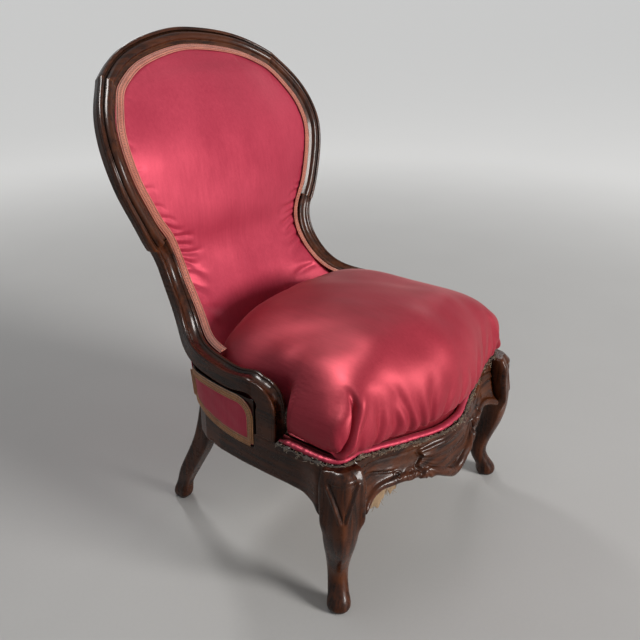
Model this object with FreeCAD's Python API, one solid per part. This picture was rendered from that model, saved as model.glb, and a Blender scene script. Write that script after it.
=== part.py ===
import FreeCAD, Part
import math
import os

import Sketcher

# Upholstered dressing chair with a balloon back, low arms and cabriole front legs.
# Millimetres, +Z up, the front looks along -Y. The origin lies on the floor under the
# middle of the chair. Left is the -X side, right the +X side, as seen from the front.

V = FreeCAD.Vector
doc = FreeCAD.newDocument("dressing_chair")

# Driving sizes: name, value in millimetres, what it sets.
SIZES = [
    ("front_foot_set", 275, "front feet ahead of the origin"),
    ("foot_run", 431, "front feet to rear feet, front to back"),
    ("front_foot_half_spacing", 252, "front feet to the middle plane"),
    ("rear_foot_half_spacing", 202.5, "rear feet to the middle plane"),
    ("rail_bottom", 205, "underside of the seat rails"),
    ("rail_top", 279, "upper edge of the side rails"),
    ("rail_thickness", 46, "timber of the front and rear seat rails"),
    ("side_rail_thickness", 52, "timber of the side seat rails"),
    ("side_rail_half_width", 264, "outer face of the side rails at the arms"),
    ("front_bow", 60, "bow of the front rail ahead of the feet"),
    ("front_dip", 23, "dip of the front rail's upper edge"),
    ("apron_drop", 45, "drop of the front rail's centre below the side rails"),
    ("apron_lip", 16, "thickness and bead of the front rail's lower lip"),
    ("knee_half_width", 32, "half width of a front leg at the knee"),
    ("leg_sway", 20, "inward sway of a front leg at the ankle"),
    ("rear_leg_half_depth", 18, "half depth of a rear leg"),
    ("rear_leg_half_width", 16, "half width of a rear leg"),
    ("rear_leg_rake", 92, "rake of a rear leg from seat to foot"),
    ("leg_corner_radius", 7, "rounding of the rear leg's corners"),
    ("arm_top", 373, "upper face of the arms"),
    ("arm_front_set", 127, "front face of the arms behind the front feet"),
    ("arm_corner_radius", 48, "rounded front corner of the arms"),
    ("arm_depth", 33, "thickness of the arms"),
    ("arm_post_depth", 45, "depth of the arm's front post"),
    ("frame_half_width", 253.5, "middle of the back moulding at its widest"),
    ("frame_reach", 464, "front of the arms to the crown, front to back"),
    ("frame_rise", 477, "upper face of the arms to the crown"),
    ("moulding_half_width", 16.5, "half width of the frame moulding"),
    ("moulding_depth", 19, "frame moulding behind the padding's face"),
    ("moulding_relief", 6, "depth of the moulding's grooves"),
    ("notch_step", 4, "shoulder of the upper moulding at the waist"),
    ("fit_gap", 0.3, "clearance between pieces that meet"),
    ("soft_gap", 1.5, "clearance round padding"),
    ("cloth_thickness", 1.5, "thickness of a covering cloth"),
    ("hessian_thickness", 1, "thickness of hessian and bottom cloth"),
    ("gimp_width", 14, "width of the gimp braid"),
    ("gimp_thickness", 2, "thickness of the gimp braid"),
    ("gimp_tilt", 3.9, "rise of the back's gimp towards the padding"),
    ("back_stuffing_depth", 11.5, "stuffing of the back at its edge"),
    ("outer_cover_inset", 6, "outer back cover inside the frame's edge"),
    ("panel_thickness", 3, "thickness of a side panel"),
    ("arm_pad_thickness", 5, "padding inside the arms"),
    ("arm_pad_drop", 8, "arm padding below the arm's upper face"),
    ("back_pad_crown", 16, "crown of the back stuffing"),
    ("cushion_half_width", 273, "half width of the seat at its front"),
    ("cushion_front_reach", 60, "seat's front bow ahead of the feet"),
    ("cushion_back_set", 350, "rear of the seat behind the front feet"),
    ("cushion_bottom", 288, "underside of the seat's overhang"),
    ("cushion_rise", 166, "underside of the seat to its crown"),
    ("cushion_arm_gap", 9, "gap between the seat and the arms"),
    ("hessian_scrap_length", 46, "hessian torn loose under the front rail"),
    ("hessian_scrap_width", 26, "width of the torn hessian"),
    ("spring_set", 78, "front row of springs behind the front feet"),
    ("spring_radius", 34, "end coils of a seat spring"),
    ("spring_waist_radius", 24, "waist coil of a seat spring"),
    ("spring_wire_radius", 1.8, "wire of a seat spring"),
    ("spring_top", 372, "top of the seat springs"),
    ("spring_pitch_x", 120, "seat springs side to side"),
    ("spring_pitch_y", 102, "seat springs front to back"),
    ("webbing_width", 50, "width of a webbing strip"),
    ("webbing_thickness", 1.5, "thickness of a webbing strip"),
    ("webbing_half_length", 246, "half length of a crosswise strip"),
    ("webbing_front_set", 9, "lengthwise strips ahead of the front feet"),
    ("webbing_back_set", 378, "lengthwise strips' end behind the front feet"),
    ("hessian_margin", 40, "hessian beyond the spring centres"),
    ("hessian_flange", 2, "hessian over the side rails"),
    ("hessian_draw", 3, "hessian drawn in over the springs"),
    ("border_height", 8, "height of the border roll on the rails"),
    ("border_width", 14, "width of the border roll on the rails"),
    ("border_inset", 5, "border roll behind the rail's upper edge"),
    ("block_height", 36, "height of a corner block"),
    ("block_leg", 64, "length of a corner block along the rails"),
    ("screw_radius", 2.2, "shank of a block screw"),
    ("screw_head_radius", 4.2, "head of a block screw"),
    ("screw_length", 36, "length of a block screw"),
    ("dowel_radius", 4, "radius of a frame dowel"),
    ("dowel_length", 36, "length of a frame dowel"),
    ("tack_radius", 3.2, "head of a webbing tack"),
    ("tack_height", 1.2, "height of a tack head"),
    ("tack_end_set", 8, "tacks from the end of a webbing strip"),
    ("tack_pitch", 16, "tacks across a webbing strip"),
    ("tacking_rail_base", 309, "underside of the back tacking rail"),
    ("tacking_rail_height", 26, "height of the back tacking rail"),
    ("tacking_rail_depth", 16, "thickness of the back tacking rail"),
]

sheet = doc.addObject("Spreadsheet::Sheet", "Sizes")
for row, (alias, value, note) in enumerate(SIZES, 1):
    sheet.set("A%d" % row, note)
    sheet.set("B%d" % row, str(value))
    sheet.setAlias("B%d" % row, alias)
doc.recompute()


class SheetSizes:
    """Every named size, read from the sheet."""

    def __getattr__(self, alias):
        return float(getattr(sheet, alias))


S = SheetSizes()
front_line = -S.front_foot_set
pieces = []


def keep(piece):
    """List a sub-part under its own label."""
    pieces.append(piece)
    return piece


def feature(name, shape):
    """A sub-part whose shape is worked out from the sheet."""
    piece = doc.addObject("Part::Feature", name)
    piece.Shape = shape
    piece.Label = name
    piece.Placement = FreeCAD.Placement(V(0, 0, 0), FreeCAD.Rotation())
    return keep(piece)


def mirrored(shape):
    """The same shape on the other side of the middle plane."""
    return shape.mirror(V(0, 0, 0), V(1, 0, 0))


def feature_pair(name, shape):
    """A sub-part on the right and its mirror image on the left."""
    feature(name + "_left", mirrored(shape))
    feature(name + "_right", shape)
    return shape


def outline(start, segments, place):
    """Closed wire of lines (end) and three-point arcs (middle, end), placed in space."""
    here = start
    edges = []
    for segment in segments + [(start,)]:
        end = segment[-1]
        if len(segment) == 1:
            edges.append(Part.LineSegment(place(*here), place(*end)).toShape())
        else:
            edges.append(Part.Arc(place(*here), place(*segment[0]), place(*end)).toShape())
        here = end
    return Part.Wire(edges)


def loft(wires, ruled=False):
    """Closed solid through the sections."""
    solid = Part.makeLoft(wires, True, ruled)
    if solid.Volume < 0:
        solid.reverse()
    return solid


def without(shape, others):
    """The shape with its neighbours cut away, largest remaining solid only."""
    rest = shape.cut(others)
    return max(rest.Solids, key=lambda solid: solid.Volume)


# Frame moulding. Its middle line runs from the crown down one side of the balloon
# back, in at the waist, and forward along the arm. Each row gives a share of the half
# width, of the reach, of the rise, and how far the line leans forward, in degrees.
CREST_SHARES = [
    (0.000, 1.000, 1.000, 36),
    (0.205, 0.991, 0.992, 36),
    (0.402, 0.975, 0.974, 36),
    (0.565, 0.955, 0.949, 37),
    (0.712, 0.925, 0.912, 37),
    (0.800, 0.901, 0.882, 36),
]
STILE_SHARES = [
    (0.800, 0.901, 0.882, 36),
    (0.903, 0.849, 0.812, 32),
    (0.972, 0.802, 0.740, 28),
    (1.000, 0.761, 0.665, 24),
    (0.998, 0.737, 0.606, 19),
    (0.968, 0.718, 0.529, 13),
    (0.909, 0.702, 0.444, 9),
    (0.840, 0.692, 0.362, 3),
    (0.791, 0.689, 0.320, 1),
]
ARM_SHARES = [
    (0.791, 0.689, 0.320, 1),
    (0.752, 0.686, 0.272, 6),
    (0.732, 0.670, 0.214, 20),
    (0.733, 0.645, 0.165, 31),
    (0.750, 0.599, 0.105, 42),
    (0.789, 0.547, 0.055, 53),
    (0.852, 0.488, 0.022, 68),
    (0.921, 0.406, 0.008, 82),
    (0.964, 0.291, 0.000, 88),
    (0.978, 0.190, 0.000, 90),
]
ARM_FRONT_SHARE = 0.976
CORNER_TURNS = (0, 15, 30, 45, 60, 75, 90)


class Station:
    """A place on the frame's middle line, with the way across it and its face."""

    def __init__(self, point, lean):
        self.point = point
        self.face = V(0, -math.cos(math.radians(lean)), math.sin(math.radians(lean)))
        self.across = None

    def at(self, across, out):
        """Point this far across the moulding and this far out of its face."""
        return self.point + self.across * across + self.face * out


def frame_station(row):
    x_share, y_share, z_share, lean = row
    x = x_share * S.frame_half_width
    y = front_line + S.arm_front_set + y_share * S.frame_reach
    return Station(V(x, y, S.arm_top + z_share * S.frame_rise), lean)


def arm_front_stations():
    """Round the arm's front corner and down to the rail."""
    x = ARM_FRONT_SHARE * S.frame_half_width
    radius = S.arm_corner_radius
    rows = []
    for turn in CORNER_TURNS:
        swing = math.radians(turn)
        y = front_line + S.arm_front_set + radius * (1 - math.sin(swing))
        z = S.arm_top - radius * (1 - math.cos(swing))
        rows.append(Station(V(x, y, z), 90 - turn))
    rows.append(Station(V(x, front_line + S.arm_front_set, S.rail_top), 0))
    return rows


crest_half = [frame_station(row) for row in CREST_SHARES]
stile_line = [frame_station(row) for row in STILE_SHARES]
arm_front = arm_front_stations()
arm_line = [frame_station(row) for row in ARM_SHARES] + arm_front[:1]

right_line = crest_half + stile_line[1:] + arm_line[1:] + arm_front[1:]
middle_line = Part.BSplineCurve()
middle_line.interpolate(
    [V(-s.point.x, s.point.y, s.point.z) for s in reversed(right_line[1:])]
    + [s.point for s in right_line]
)
for station in crest_half + stile_line + arm_line[:-1]:
    along = middle_line.tangent(middle_line.parameter(station.point))[0]
    station.across = station.face.cross(along).normalize()
for station in arm_front:
    station.across = V(1, 0, 0)


def mirror_station(station):
    twin = Station(V(-station.point.x, station.point.y, station.point.z), 0)
    twin.face = station.face
    twin.across = V(-station.across.x, station.across.y, station.across.z)
    return twin


# Moulding sections: shares of the half width and of the relief.
BACK_MOULDING_SHARES = [
    ((-1.0, -1.3),),
    ((-0.64, -0.9),),
    ((-0.14, 0.2), (0.36, -0.9)),
    ((0.50, -1.0),),
    ((0.72, -0.2), (0.94, -0.95)),
    ((1.0, -1.5),),
]
ARM_MOULDING_SHARES = [
    ((-1.0, -0.9),),
    ((-0.80, 0.0), (-0.56, -0.6)),
    ((0.02, -1.25), (0.52, -0.6)),
    ((0.60, -0.5),),
    ((0.78, 0.0), (0.96, -0.7)),
    ((1.0, -1.0),),
]
REAR_ROUNDING_SHARE = 0.35
FACE_LIFT_SHARE = 1.2


def moulding_section(station, shares, depth, lift=1, shoulder=0):
    """Section across the frame's line, this deep behind it and lifted ahead of it."""
    half = S.moulding_half_width
    raised = lift * FACE_LIFT_SHARE * S.moulding_relief

    def place(across_share, out):
        return station.at(across_share * half + max(across_share, 0) * shoulder, out)

    def out_of(pairs):
        return tuple((across, relief * S.moulding_relief + raised) for across, relief in pairs)

    soft = REAR_ROUNDING_SHARE * half
    rear = [((1.0, soft - depth),), ((1.0 - REAR_ROUNDING_SHARE, -depth),)]
    return outline((-1.0, -depth), [out_of(segment) for segment in shares] + rear, place)


crest_line = [mirror_station(s) for s in reversed(crest_half[1:])] + crest_half
crest_solid = loft([moulding_section(s, BACK_MOULDING_SHARES, S.moulding_depth) for s in crest_line])

shoulders = [0] * (len(stile_line) - 2) + [S.notch_step / 2, S.notch_step]
stile_solid = loft(
    [
        moulding_section(s, BACK_MOULDING_SHARES, S.moulding_depth, 1, shoulder)
        for s, shoulder in zip(stile_line, shoulders)
    ]
)

# The lower stile sinks to the arm's flat face and thickens into the arm.
SINK_SHARES = [0.9, 0.85, 0.7, 0.5, 0.3, 0.15, 0.05, 0, 0, 0, 0]
THICKEN_SHARES = [0, 0, 0.05, 0.15, 0.35, 0.6, 0.85, 1, 1, 1, 1]


def between(low, high, share):
    return low + (high - low) * share


arm_rest = loft(
    [
        moulding_section(s, ARM_MOULDING_SHARES, between(S.moulding_depth, S.arm_depth, thick), sink)
        for s, thick, sink in zip(arm_line, THICKEN_SHARES, SINK_SHARES)
    ]
)
corner_steps = len(CORNER_TURNS) - 1
arm_post = loft(
    [
        moulding_section(
            s, ARM_MOULDING_SHARES, between(S.arm_depth, S.arm_post_depth, min(step / corner_steps, 1)), 0
        )
        for step, s in enumerate(arm_front)
    ],
    True,
)
arm_solid = arm_rest.fuse(arm_post).Solids[0]


# Front legs. Rows: share of the rail's height, inward sway, half width across the
# knee, half depth, and how round the section is.
FRONT_LEG_SHARES = [
    (0.000, 0.00, 0.47, 0.46, 1.0),
    (0.010, 0.00, 0.56, 0.55, 1.0),
    (0.045, 0.02, 0.63, 0.61, 1.0),
    (0.095, 0.30, 0.57, 0.55, 1.0),
    (0.150, 0.75, 0.54, 0.52, 1.0),
    (0.210, 0.98, 0.54, 0.51, 0.9),
    (0.300, 0.80, 0.60, 0.57, 0.7),
    (0.380, 0.42, 0.69, 0.65, 0.5),
    (0.465, 0.02, 0.81, 0.72, 0.3),
    (0.545, -0.20, 0.90, 0.77, 0.2),
    (0.620, -0.27, 0.96, 0.81, 0.2),
    (0.700, -0.25, 0.99, 0.83, 0.3),
    (0.800, -0.08, 1.00, 0.83, 0.5),
    (0.900, 0.00, 1.00, 0.83, 0.7),
    (1.000, 0.06, 0.97, 0.80, 0.8),
]
RIDGED_SHARE = 0.60
ROUND_SHARE = math.sqrt(0.5)


def front_leg():
    out = V(1, -1, 0).normalize()
    side = V(1, 1, 0).normalize()
    foot = V(S.front_foot_half_spacing, front_line, 0)
    wires = []
    for height, sway, width, depth, roundness in FRONT_LEG_SHARES:
        centre = foot - out * (sway * S.leg_sway) + V(0, 0, height * S.rail_top)
        mid = RIDGED_SHARE + (ROUND_SHARE - RIDGED_SHARE) * roundness
        a = out * (depth * S.knee_half_width)
        b = side * (width * S.knee_half_width)

        def place(u, v):
            return centre + a * u + b * v

        arcs = [
            ((mid, mid), (0, 1)),
            ((-mid, mid), (-1, 0)),
            ((-mid, -mid), (0, -1)),
        ]
        edges = []
        here = (1, 0)
        for middle, end in arcs + [((mid, -mid), (1, 0))]:
            edges.append(Part.Arc(place(*here), place(*middle), place(*end)).toShape())
            here = end
        wires.append(Part.Wire(edges))
    return loft(wires)


front_leg_solid = front_leg()


# Rear legs. Each leg rakes back below the seat and runs up inside the padding to the
# arm. Rows: share of the rail's height, share of the rake, of the half width, of the
# half depth, and share of the way from foot to post.
REAR_LEG_SHARES = [
    (0.000, 1.00, 0.74, 0.66, 0.0),
    (0.012, 1.00, 0.84, 0.76, 0.0),
    (0.110, 0.93, 0.84, 0.78, 0.0),
    (0.235, 0.77, 0.90, 0.88, 0.0),
    (0.360, 0.57, 0.96, 0.96, 0.1),
    (0.485, 0.36, 1.00, 1.00, 0.2),
    (0.595, 0.21, 1.00, 1.00, 0.4),
    (0.735, 0.08, 1.00, 1.00, 0.7),
    (0.900, 0.00, 0.94, 0.92, 1.0),
    (1.000, 0.00, 0.88, 0.86, 1.0),
    (1.240, 0.02, 0.82, 0.80, 1.0),
]
POST_INSET_SHARE = 0.985


def rounded_section(centre, half_x, half_y, radius):
    """Level rounded rectangle."""
    bite = radius * (1 - ROUND_SHARE)
    flat_x, flat_y = half_x - radius, half_y - radius

    def place(x, y):
        return centre + V(x, y, 0)

    corners = []
    for sx, sy in ((1, 1), (-1, 1), (-1, -1), (1, -1)):
        side = (sx * half_x, sy * flat_y)
        top = (sx * flat_x, sy * half_y)
        middle = (sx * (half_x - bite), sy * (half_y - bite))
        corners.append((side, middle, top) if sx * sy > 0 else (top, middle, side))
    segments = [corners[0][1:]]
    for first, middle, last in corners[1:]:
        segments += [(first,), (middle, last)]
    return outline(corners[0][0], segments, place)


def rear_leg():
    wires = []
    foot_y = front_line + S.foot_run
    for height, rake, width, depth, lift in REAR_LEG_SHARES:
        x = S.rear_foot_half_spacing * (1 - lift * (1 - POST_INSET_SHARE))
        y = foot_y - S.rear_leg_rake * (1 - rake)
        half_x, half_y = width * S.rear_leg_half_width, depth * S.rear_leg_half_depth
        centre = V(x, y, height * S.rail_top)
        wires.append(rounded_section(centre, half_x, half_y, S.leg_corner_radius))
    return loft(wires)


rear_leg_solid = rear_leg()


# Seat rails. The side rail's outer face: shares of its half width, of the foot run,
# and how far its lower edge drops into the knee of the front leg.
SIDE_RAIL_SHARES = [
    (0.990, 0.020, 0.95),
    (0.990, 0.068, 0.72),
    (0.992, 0.104, 0.22),
    (0.995, 0.155, 0.05),
    (1.000, 0.232, 0.00),
    (1.004, 0.350, 0.00),
    (1.003, 0.470, 0.00),
    (0.990, 0.590, 0.00),
    (0.957, 0.690, 0.00),
    (0.905, 0.752, 0.00),
    (0.840, 0.790, 0.00),
]


def rail_face(row):
    x_share, y_share, knee_share = row
    return x_share * S.side_rail_half_width, front_line + y_share * S.foot_run, knee_share


def side_rail():
    wires = []
    for row in SIDE_RAIL_SHARES:
        x, y, knee = rail_face(row)
        inner = x - S.side_rail_thickness
        low = S.rail_bottom - knee * S.apron_drop
        bevel = S.side_rail_thickness - S.rail_thickness * REAR_ROUNDING_SHARE / 2

        def place(px, pz):
            return V(px, y, pz)

        edge = inner + bevel
        segments = [((x, low + (x - edge)),), ((x, S.rail_top),), ((inner, S.rail_top),)]
        wires.append(outline((inner, low), [((edge, low),)] + segments, place))
    return loft(wires, True)


# Front rail, a serpentine with a rolled lower edge. Rows: share of the half spacing of
# the feet, bow of the upper and of the lower edge, dip above and drop below.
FRONT_RAIL_SHARES = [
    (0.00, 0.92, 1.00, 1.00, 1.00),
    (0.12, 0.88, 0.98, 1.00, 0.72),
    (0.24, 0.72, 0.88, 1.00, 0.46),
    (0.36, 0.55, 0.72, 0.90, 0.28),
    (0.48, 0.40, 0.57, 0.78, 0.18),
    (0.60, 0.23, 0.42, 0.62, 0.14),
    (0.72, 0.07, 0.28, 0.48, 0.18),
    (0.84, -0.06, 0.20, 0.30, 0.40),
    (0.94, -0.10, 0.17, 0.10, 0.80),
]
HOLLOW_SHARE = 0.3
BEAD_SHARE = 0.25


def front_rail_section(row, side):
    x_share, bow_top, bow_low, dip, drop = row
    x = side * x_share * S.front_foot_half_spacing
    y_top = front_line - bow_top * S.front_bow
    y_low = front_line - bow_low * S.front_bow
    top = S.rail_top - dip * S.front_dip
    low = S.rail_bottom - drop * S.apron_drop
    lip = S.apron_lip
    y_rear = y_top + S.rail_thickness

    def place(y, z):
        return V(x, y, z)

    bead_top = (y_low + BEAD_SHARE * lip, low + lip)
    middle = ((y_top + bead_top[0]) / 2 + HOLLOW_SHARE * lip, (top + bead_top[1]) / 2)
    segments = [
        ((y_rear, top),),
        ((y_top, top),),
        (middle, bead_top),
        ((y_low - BEAD_SHARE * lip, low + lip / 2), (y_low + BEAD_SHARE * lip, low)),
        ((y_low + lip, low),),
        ((y_low + lip, S.rail_bottom),),
    ]
    return outline((y_rear, S.rail_bottom), segments, place)


def front_rail():
    right = [front_rail_section(row, 1) for row in FRONT_RAIL_SHARES]
    left = [front_rail_section(row, -1) for row in reversed(FRONT_RAIL_SHARES[1:])]
    return loft(left + right)


# Rear rail: share of the rear feet's half spacing, share of the foot run.
REAR_RAIL_SHARES = [(1.0, 0.81), (0.75, 0.885), (0.4, 0.945), (0.0, 0.972)]


def rear_rail():
    wires = []
    rows = [(-x, y) for x, y in REAR_RAIL_SHARES[:-1]] + REAR_RAIL_SHARES[::-1]
    for x_share, y_share in rows:
        x = x_share * S.rear_foot_half_spacing
        y = front_line + y_share * S.foot_run
        inner = y - S.rail_thickness
        corners = [(inner, S.rail_top), (y, S.rail_top), (y, S.rail_bottom)]
        section = outline((inner, S.rail_bottom), [(c,) for c in corners], lambda b, c: V(x, b, c))
        wires.append(section)
    return loft(wires, True)


# Side panels: a padded cloth inset between the arm and the side rail. Rows from the
# arm post to the rear corner: share of the foot run, of the rail's half width at the
# lower and upper edge, and share of the way up from the rail's underside to its top.
PANEL_SHARES = [
    (0.400, 0.996, 0.998, 0.63),
    (0.470, 1.000, 1.002, 0.65),
    (0.590, 0.987, 0.992, 0.72),
    (0.690, 0.955, 0.968, 0.85),
    (0.756, 0.909, 0.934, 0.95),
    (0.784, 0.880, 0.904, 0.96),
]


def panel_band(inner, outer, low_inset, high_inset, front_inset=0, over=0):
    """Upright band along the tub's side, between two offsets from the panel's face."""
    post_rear = S.arm_front_set + S.arm_post_depth + S.fit_gap
    wires = []
    for y_share, low_share, high_share, lift_share in PANEL_SHARES:
        y_set = max(y_share * S.foot_run, post_rear + front_inset)
        low = between(S.rail_bottom, S.rail_top, lift_share) + low_inset
        high = S.arm_top - S.arm_depth - S.fit_gap - high_inset + over
        x_low = low_share * S.side_rail_half_width
        x_high = high_share * S.side_rail_half_width
        corners = [(x_high + inner, high), (x_high + outer, high), (x_low + outer, low)]
        y = front_line + y_set
        section = outline((x_low + inner, low), [(c,) for c in corners], lambda b, c: V(b, y, c))
        wires.append(section)
    return loft(wires, True)


side_panel_solid = panel_band(-S.panel_thickness, 0, 0, 0)
gimp_outer = panel_band(0, S.gimp_thickness, 0, 0)
gimp_window = panel_band(
    -S.gimp_thickness, 2 * S.gimp_thickness, S.gimp_width, S.gimp_width, S.gimp_width
)
side_gimp_solid = gimp_outer.cut(gimp_window).Solids[0]
rebate = panel_band(-S.panel_thickness, S.rail_thickness, 0, 0, -S.gimp_width, S.rail_thickness)


# Inner edge of the frame, where the padding and its braid meet the wood.
def inner_edge(station, gap, out):
    return station.at(-S.moulding_half_width - gap, out)


class Chord:
    """A mirrored pair of edge points, the way out of the face, and the middle's shift."""

    def __init__(self, x, y, z, out, shift):
        self.x, self.y, self.z, self.out, self.shift = x, y, z, out, shift

    def place(self, across, out, crown):
        return V(across * self.x, self.y, self.z) + self.out * out + self.shift * crown

    def on_curve(self, x, out, crown):
        """Point at this distance from the middle, on the arc between the edges."""
        height = self.shift.dot(self.out) * crown
        radius = (self.x**2 + height**2) / (2 * height)
        drop = radius - math.copysign(math.sqrt(radius**2 - x**2), radius)
        return V(x, self.y, self.z) + self.out * (out + height - drop)


# Back padding. Each layer spans the two inner edges and is crowned in the middle. Below
# the waist it leaves the wood and runs down inside the tub. Rows there: share of the
# arm height, of the frame's half width, of the foot run at side and middle, and lean.
TUB_SHARES = [
    (1.134, 0.669, 0.932, 0.953, 25),
    (1.060, 0.672, 0.872, 0.937, 18),
    (0.980, 0.676, 0.822, 0.922, 12),
    (0.900, 0.680, 0.785, 0.909, 9),
    (0.850, 0.684, 0.768, 0.901, 8),
    (0.775, 0.686, 0.757, 0.892, 7),
]
CROWN_SHARES = [0.03, 0.06, 0.14, 0.32, 0.55, 0.78, 0.95, 1, 1, 1, 1, 0.95, 0.85, 0.7, 0.5, 0.3, 0.15]
TOP_SHARE = 0.6
REAR_CROWN_SHARE = 0.05


def edge_chords(stations, edge_of):
    """Chords from the crown down, the first one a short way across the crown."""
    crown, first = edge_of(stations[0]), edge_of(stations[1])
    top = between(crown, first, TOP_SHARE**2)
    chords = [Chord(TOP_SHARE * first.x, top.y, top.z, stations[0].face, 0)]
    for station in stations[1:]:
        edge = edge_of(station)
        chords.append(Chord(edge.x, edge.y, edge.z, station.face, 0))
    for chord, share in zip(chords, CROWN_SHARES):
        chord.shift = chord.out * (share * S.back_pad_crown)
    return chords


def tub_chords(rows):
    chords = []
    for z_share, x_share, y_side, y_middle, lean in rows:
        x, y = x_share * S.frame_half_width, front_line + y_side * S.foot_run
        turn = math.radians(lean)
        out = V(0, -math.cos(turn), math.sin(turn))
        hollow = (y_side - y_middle) * S.foot_run
        chords.append(Chord(x, y, z_share * S.arm_top, out, out * hollow))
    return chords


def chord_layer(chords, front, back, front_crown=1, rear_crown=1):
    """Layer from this far to that far behind the face, each side with its own crown."""
    wires = []
    for chord in chords:
        hollow = chord.shift.y > 0
        front_rise = 1 if hollow else front_crown
        rear_rise = 1 if hollow else rear_crown
        segments = [
            ((0, -back, rear_rise), (1, -back, 0)),
            ((1, -front, 0),),
            ((0, -front, front_rise), (-1, -front, 0)),
        ]
        wires.append(outline((-1, -back, 0), segments, chord.place))
    return loft(wires)


pad_stations = crest_half + stile_line[1:] + arm_line[1:4]
pad = edge_chords(pad_stations, lambda s: inner_edge(s, S.soft_gap, 0)) + tub_chords(TUB_SHARES)
cover_rear = S.gimp_thickness + S.cloth_thickness
stuffing_rear = cover_rear + S.back_stuffing_depth
hessian_rear = stuffing_rear + S.hessian_thickness
strip_face = hessian_rear + 2 * S.fit_gap
webbing_rear = strip_face + S.webbing_thickness
back_cover_solid = chord_layer(pad, S.gimp_thickness, cover_rear)
back_stuffing_solid = chord_layer(pad, cover_rear, stuffing_rear, 1, REAR_CROWN_SHARE)
back_hessian_solid = chord_layer(pad, stuffing_rear, hessian_rear, REAR_CROWN_SHARE, REAR_CROWN_SHARE)

BACK_STRIP_SHARES = [(-0.38, 4), (0.0, 1), (0.38, 4)]


def back_strip(centre_share, first):
    """Upright webbing strip behind the back hessian."""
    centre = centre_share * S.frame_half_width
    low, high = centre - S.webbing_width / 2, centre + S.webbing_width / 2
    wires = []
    for chord in pad[first:-1]:
        crown = 1 if chord.shift.y > 0 else REAR_CROWN_SHARE
        segments = [
            ((centre, -strip_face, crown), (high, -strip_face, crown)),
            ((high, -webbing_rear, crown),),
            ((centre, -webbing_rear, crown), (low, -webbing_rear, crown)),
        ]
        wires.append(outline((low, -strip_face, crown), segments, chord.on_curve))
    return loft(wires)


# Outer back cover, behind the frame and down round the tub's rear. Rows as above.
OUTER_TUB_SHARES = [
    (1.254, 0.773, 1.057, 1.072, 10),
    (1.185, 0.773, 1.028, 1.066, 10),
    (1.100, 0.791, 0.972, 1.057, 10),
    (1.030, 0.830, 0.911, 1.048, 10),
    (0.985, 0.885, 0.845, 1.040, 10),
    (0.912, 0.922, 0.800, 1.028, 10),
    (0.804, 0.925, 0.788, 1.012, 9),
    (0.702, 0.905, 0.777, 0.993, 8),
    (0.675, 0.900, 0.774, 0.988, 8),
]


def outer_edge(station):
    return station.at(S.moulding_half_width - S.outer_cover_inset, -S.moulding_depth - S.soft_gap)


outer_stations = crest_half + stile_line[1:] + arm_line[1:2]
outer_chords = edge_chords(outer_stations, outer_edge)
outer_chords += tub_chords(OUTER_TUB_SHARES)
outer_back_solid = chord_layer(
    outer_chords, 0, S.cloth_thickness, -REAR_CROWN_SHARE, -REAR_CROWN_SHARE
)


# Gimp braid along the frame's inner edge, from one arm over the crown to the other.
def braid_section(station):
    near = S.moulding_half_width + S.soft_gap + S.fit_gap
    far = near + S.gimp_width
    tilt = S.gimp_tilt
    corners = [(-far, tilt - S.gimp_thickness), (-far, tilt), (-near, 0)]
    return outline((-near, S.fit_gap - S.gimp_thickness), [(c,) for c in corners], station.at)


braid_half = crest_half + stile_line[1:] + arm_line[1:4]
braid_line = [mirror_station(s) for s in reversed(braid_half[1:])] + braid_half
inner_gimp_solid = loft([braid_section(s) for s in braid_line])


def inside_arm():
    """Thin padding on the arm's inner face, down to the side rail."""
    wires = []
    for station in arm_line[7:] + [arm_front[3]]:
        edge = inner_edge(station, S.soft_gap, 0)
        low, high = S.rail_top + S.fit_gap, S.arm_top - S.arm_pad_drop
        inner = edge.x - S.arm_pad_thickness
        corners = [(edge.x, low), (edge.x, high), (inner, high)]
        section = outline((inner, low), [(c,) for c in corners], lambda b, c: V(b, edge.y, c))
        wires.append(section)
    return loft(wires, True)


# Tacking rail across the back of the tub. Rows: share of the rear feet's half spacing,
# and share of the foot run.
TACKING_RAIL_SHARES = [(0.96, 0.850), (0.70, 0.917), (0.36, 0.977), (0.0, 1.0)]


def curved_rail(rows, low, high, depth):
    """Upright timber across the chair, curved in plan; rows give its rear face."""
    wires = []
    for x_share, y_share in [(-x, y) for x, y in rows[:-1]] + rows[::-1]:
        x = x_share * S.rear_foot_half_spacing
        y = front_line + y_share * S.foot_run
        corners = [(y - depth, high), (y, high), (y, low)]
        section = outline((y - depth, low), [(c,) for c in corners], lambda b, c: V(x, b, c))
        wires.append(section)
    return loft(wires, True)


tacking_top = S.tacking_rail_base + S.tacking_rail_height
tacking_rail_solid = curved_rail(
    TACKING_RAIL_SHARES, S.tacking_rail_base, tacking_top, S.tacking_rail_depth
)


# Seat. Its outline from above, right half, from the middle of the front: the front wings
# reach over the rails, and the rest lies between the arms.
FRONT_ARC_SHARES = [(0.0, -1.0), (0.55, -0.42), (0.72, -0.27), (0.86, -0.16)]
WING_ARC_SHARES = [(0.96, 0.03), (1.0, 0.5)]
REAR_START_SHARE = 0.62
REAR_CORNER_SHARES = [(0.90, 0.885), (0.55, 0.98)]


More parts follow.
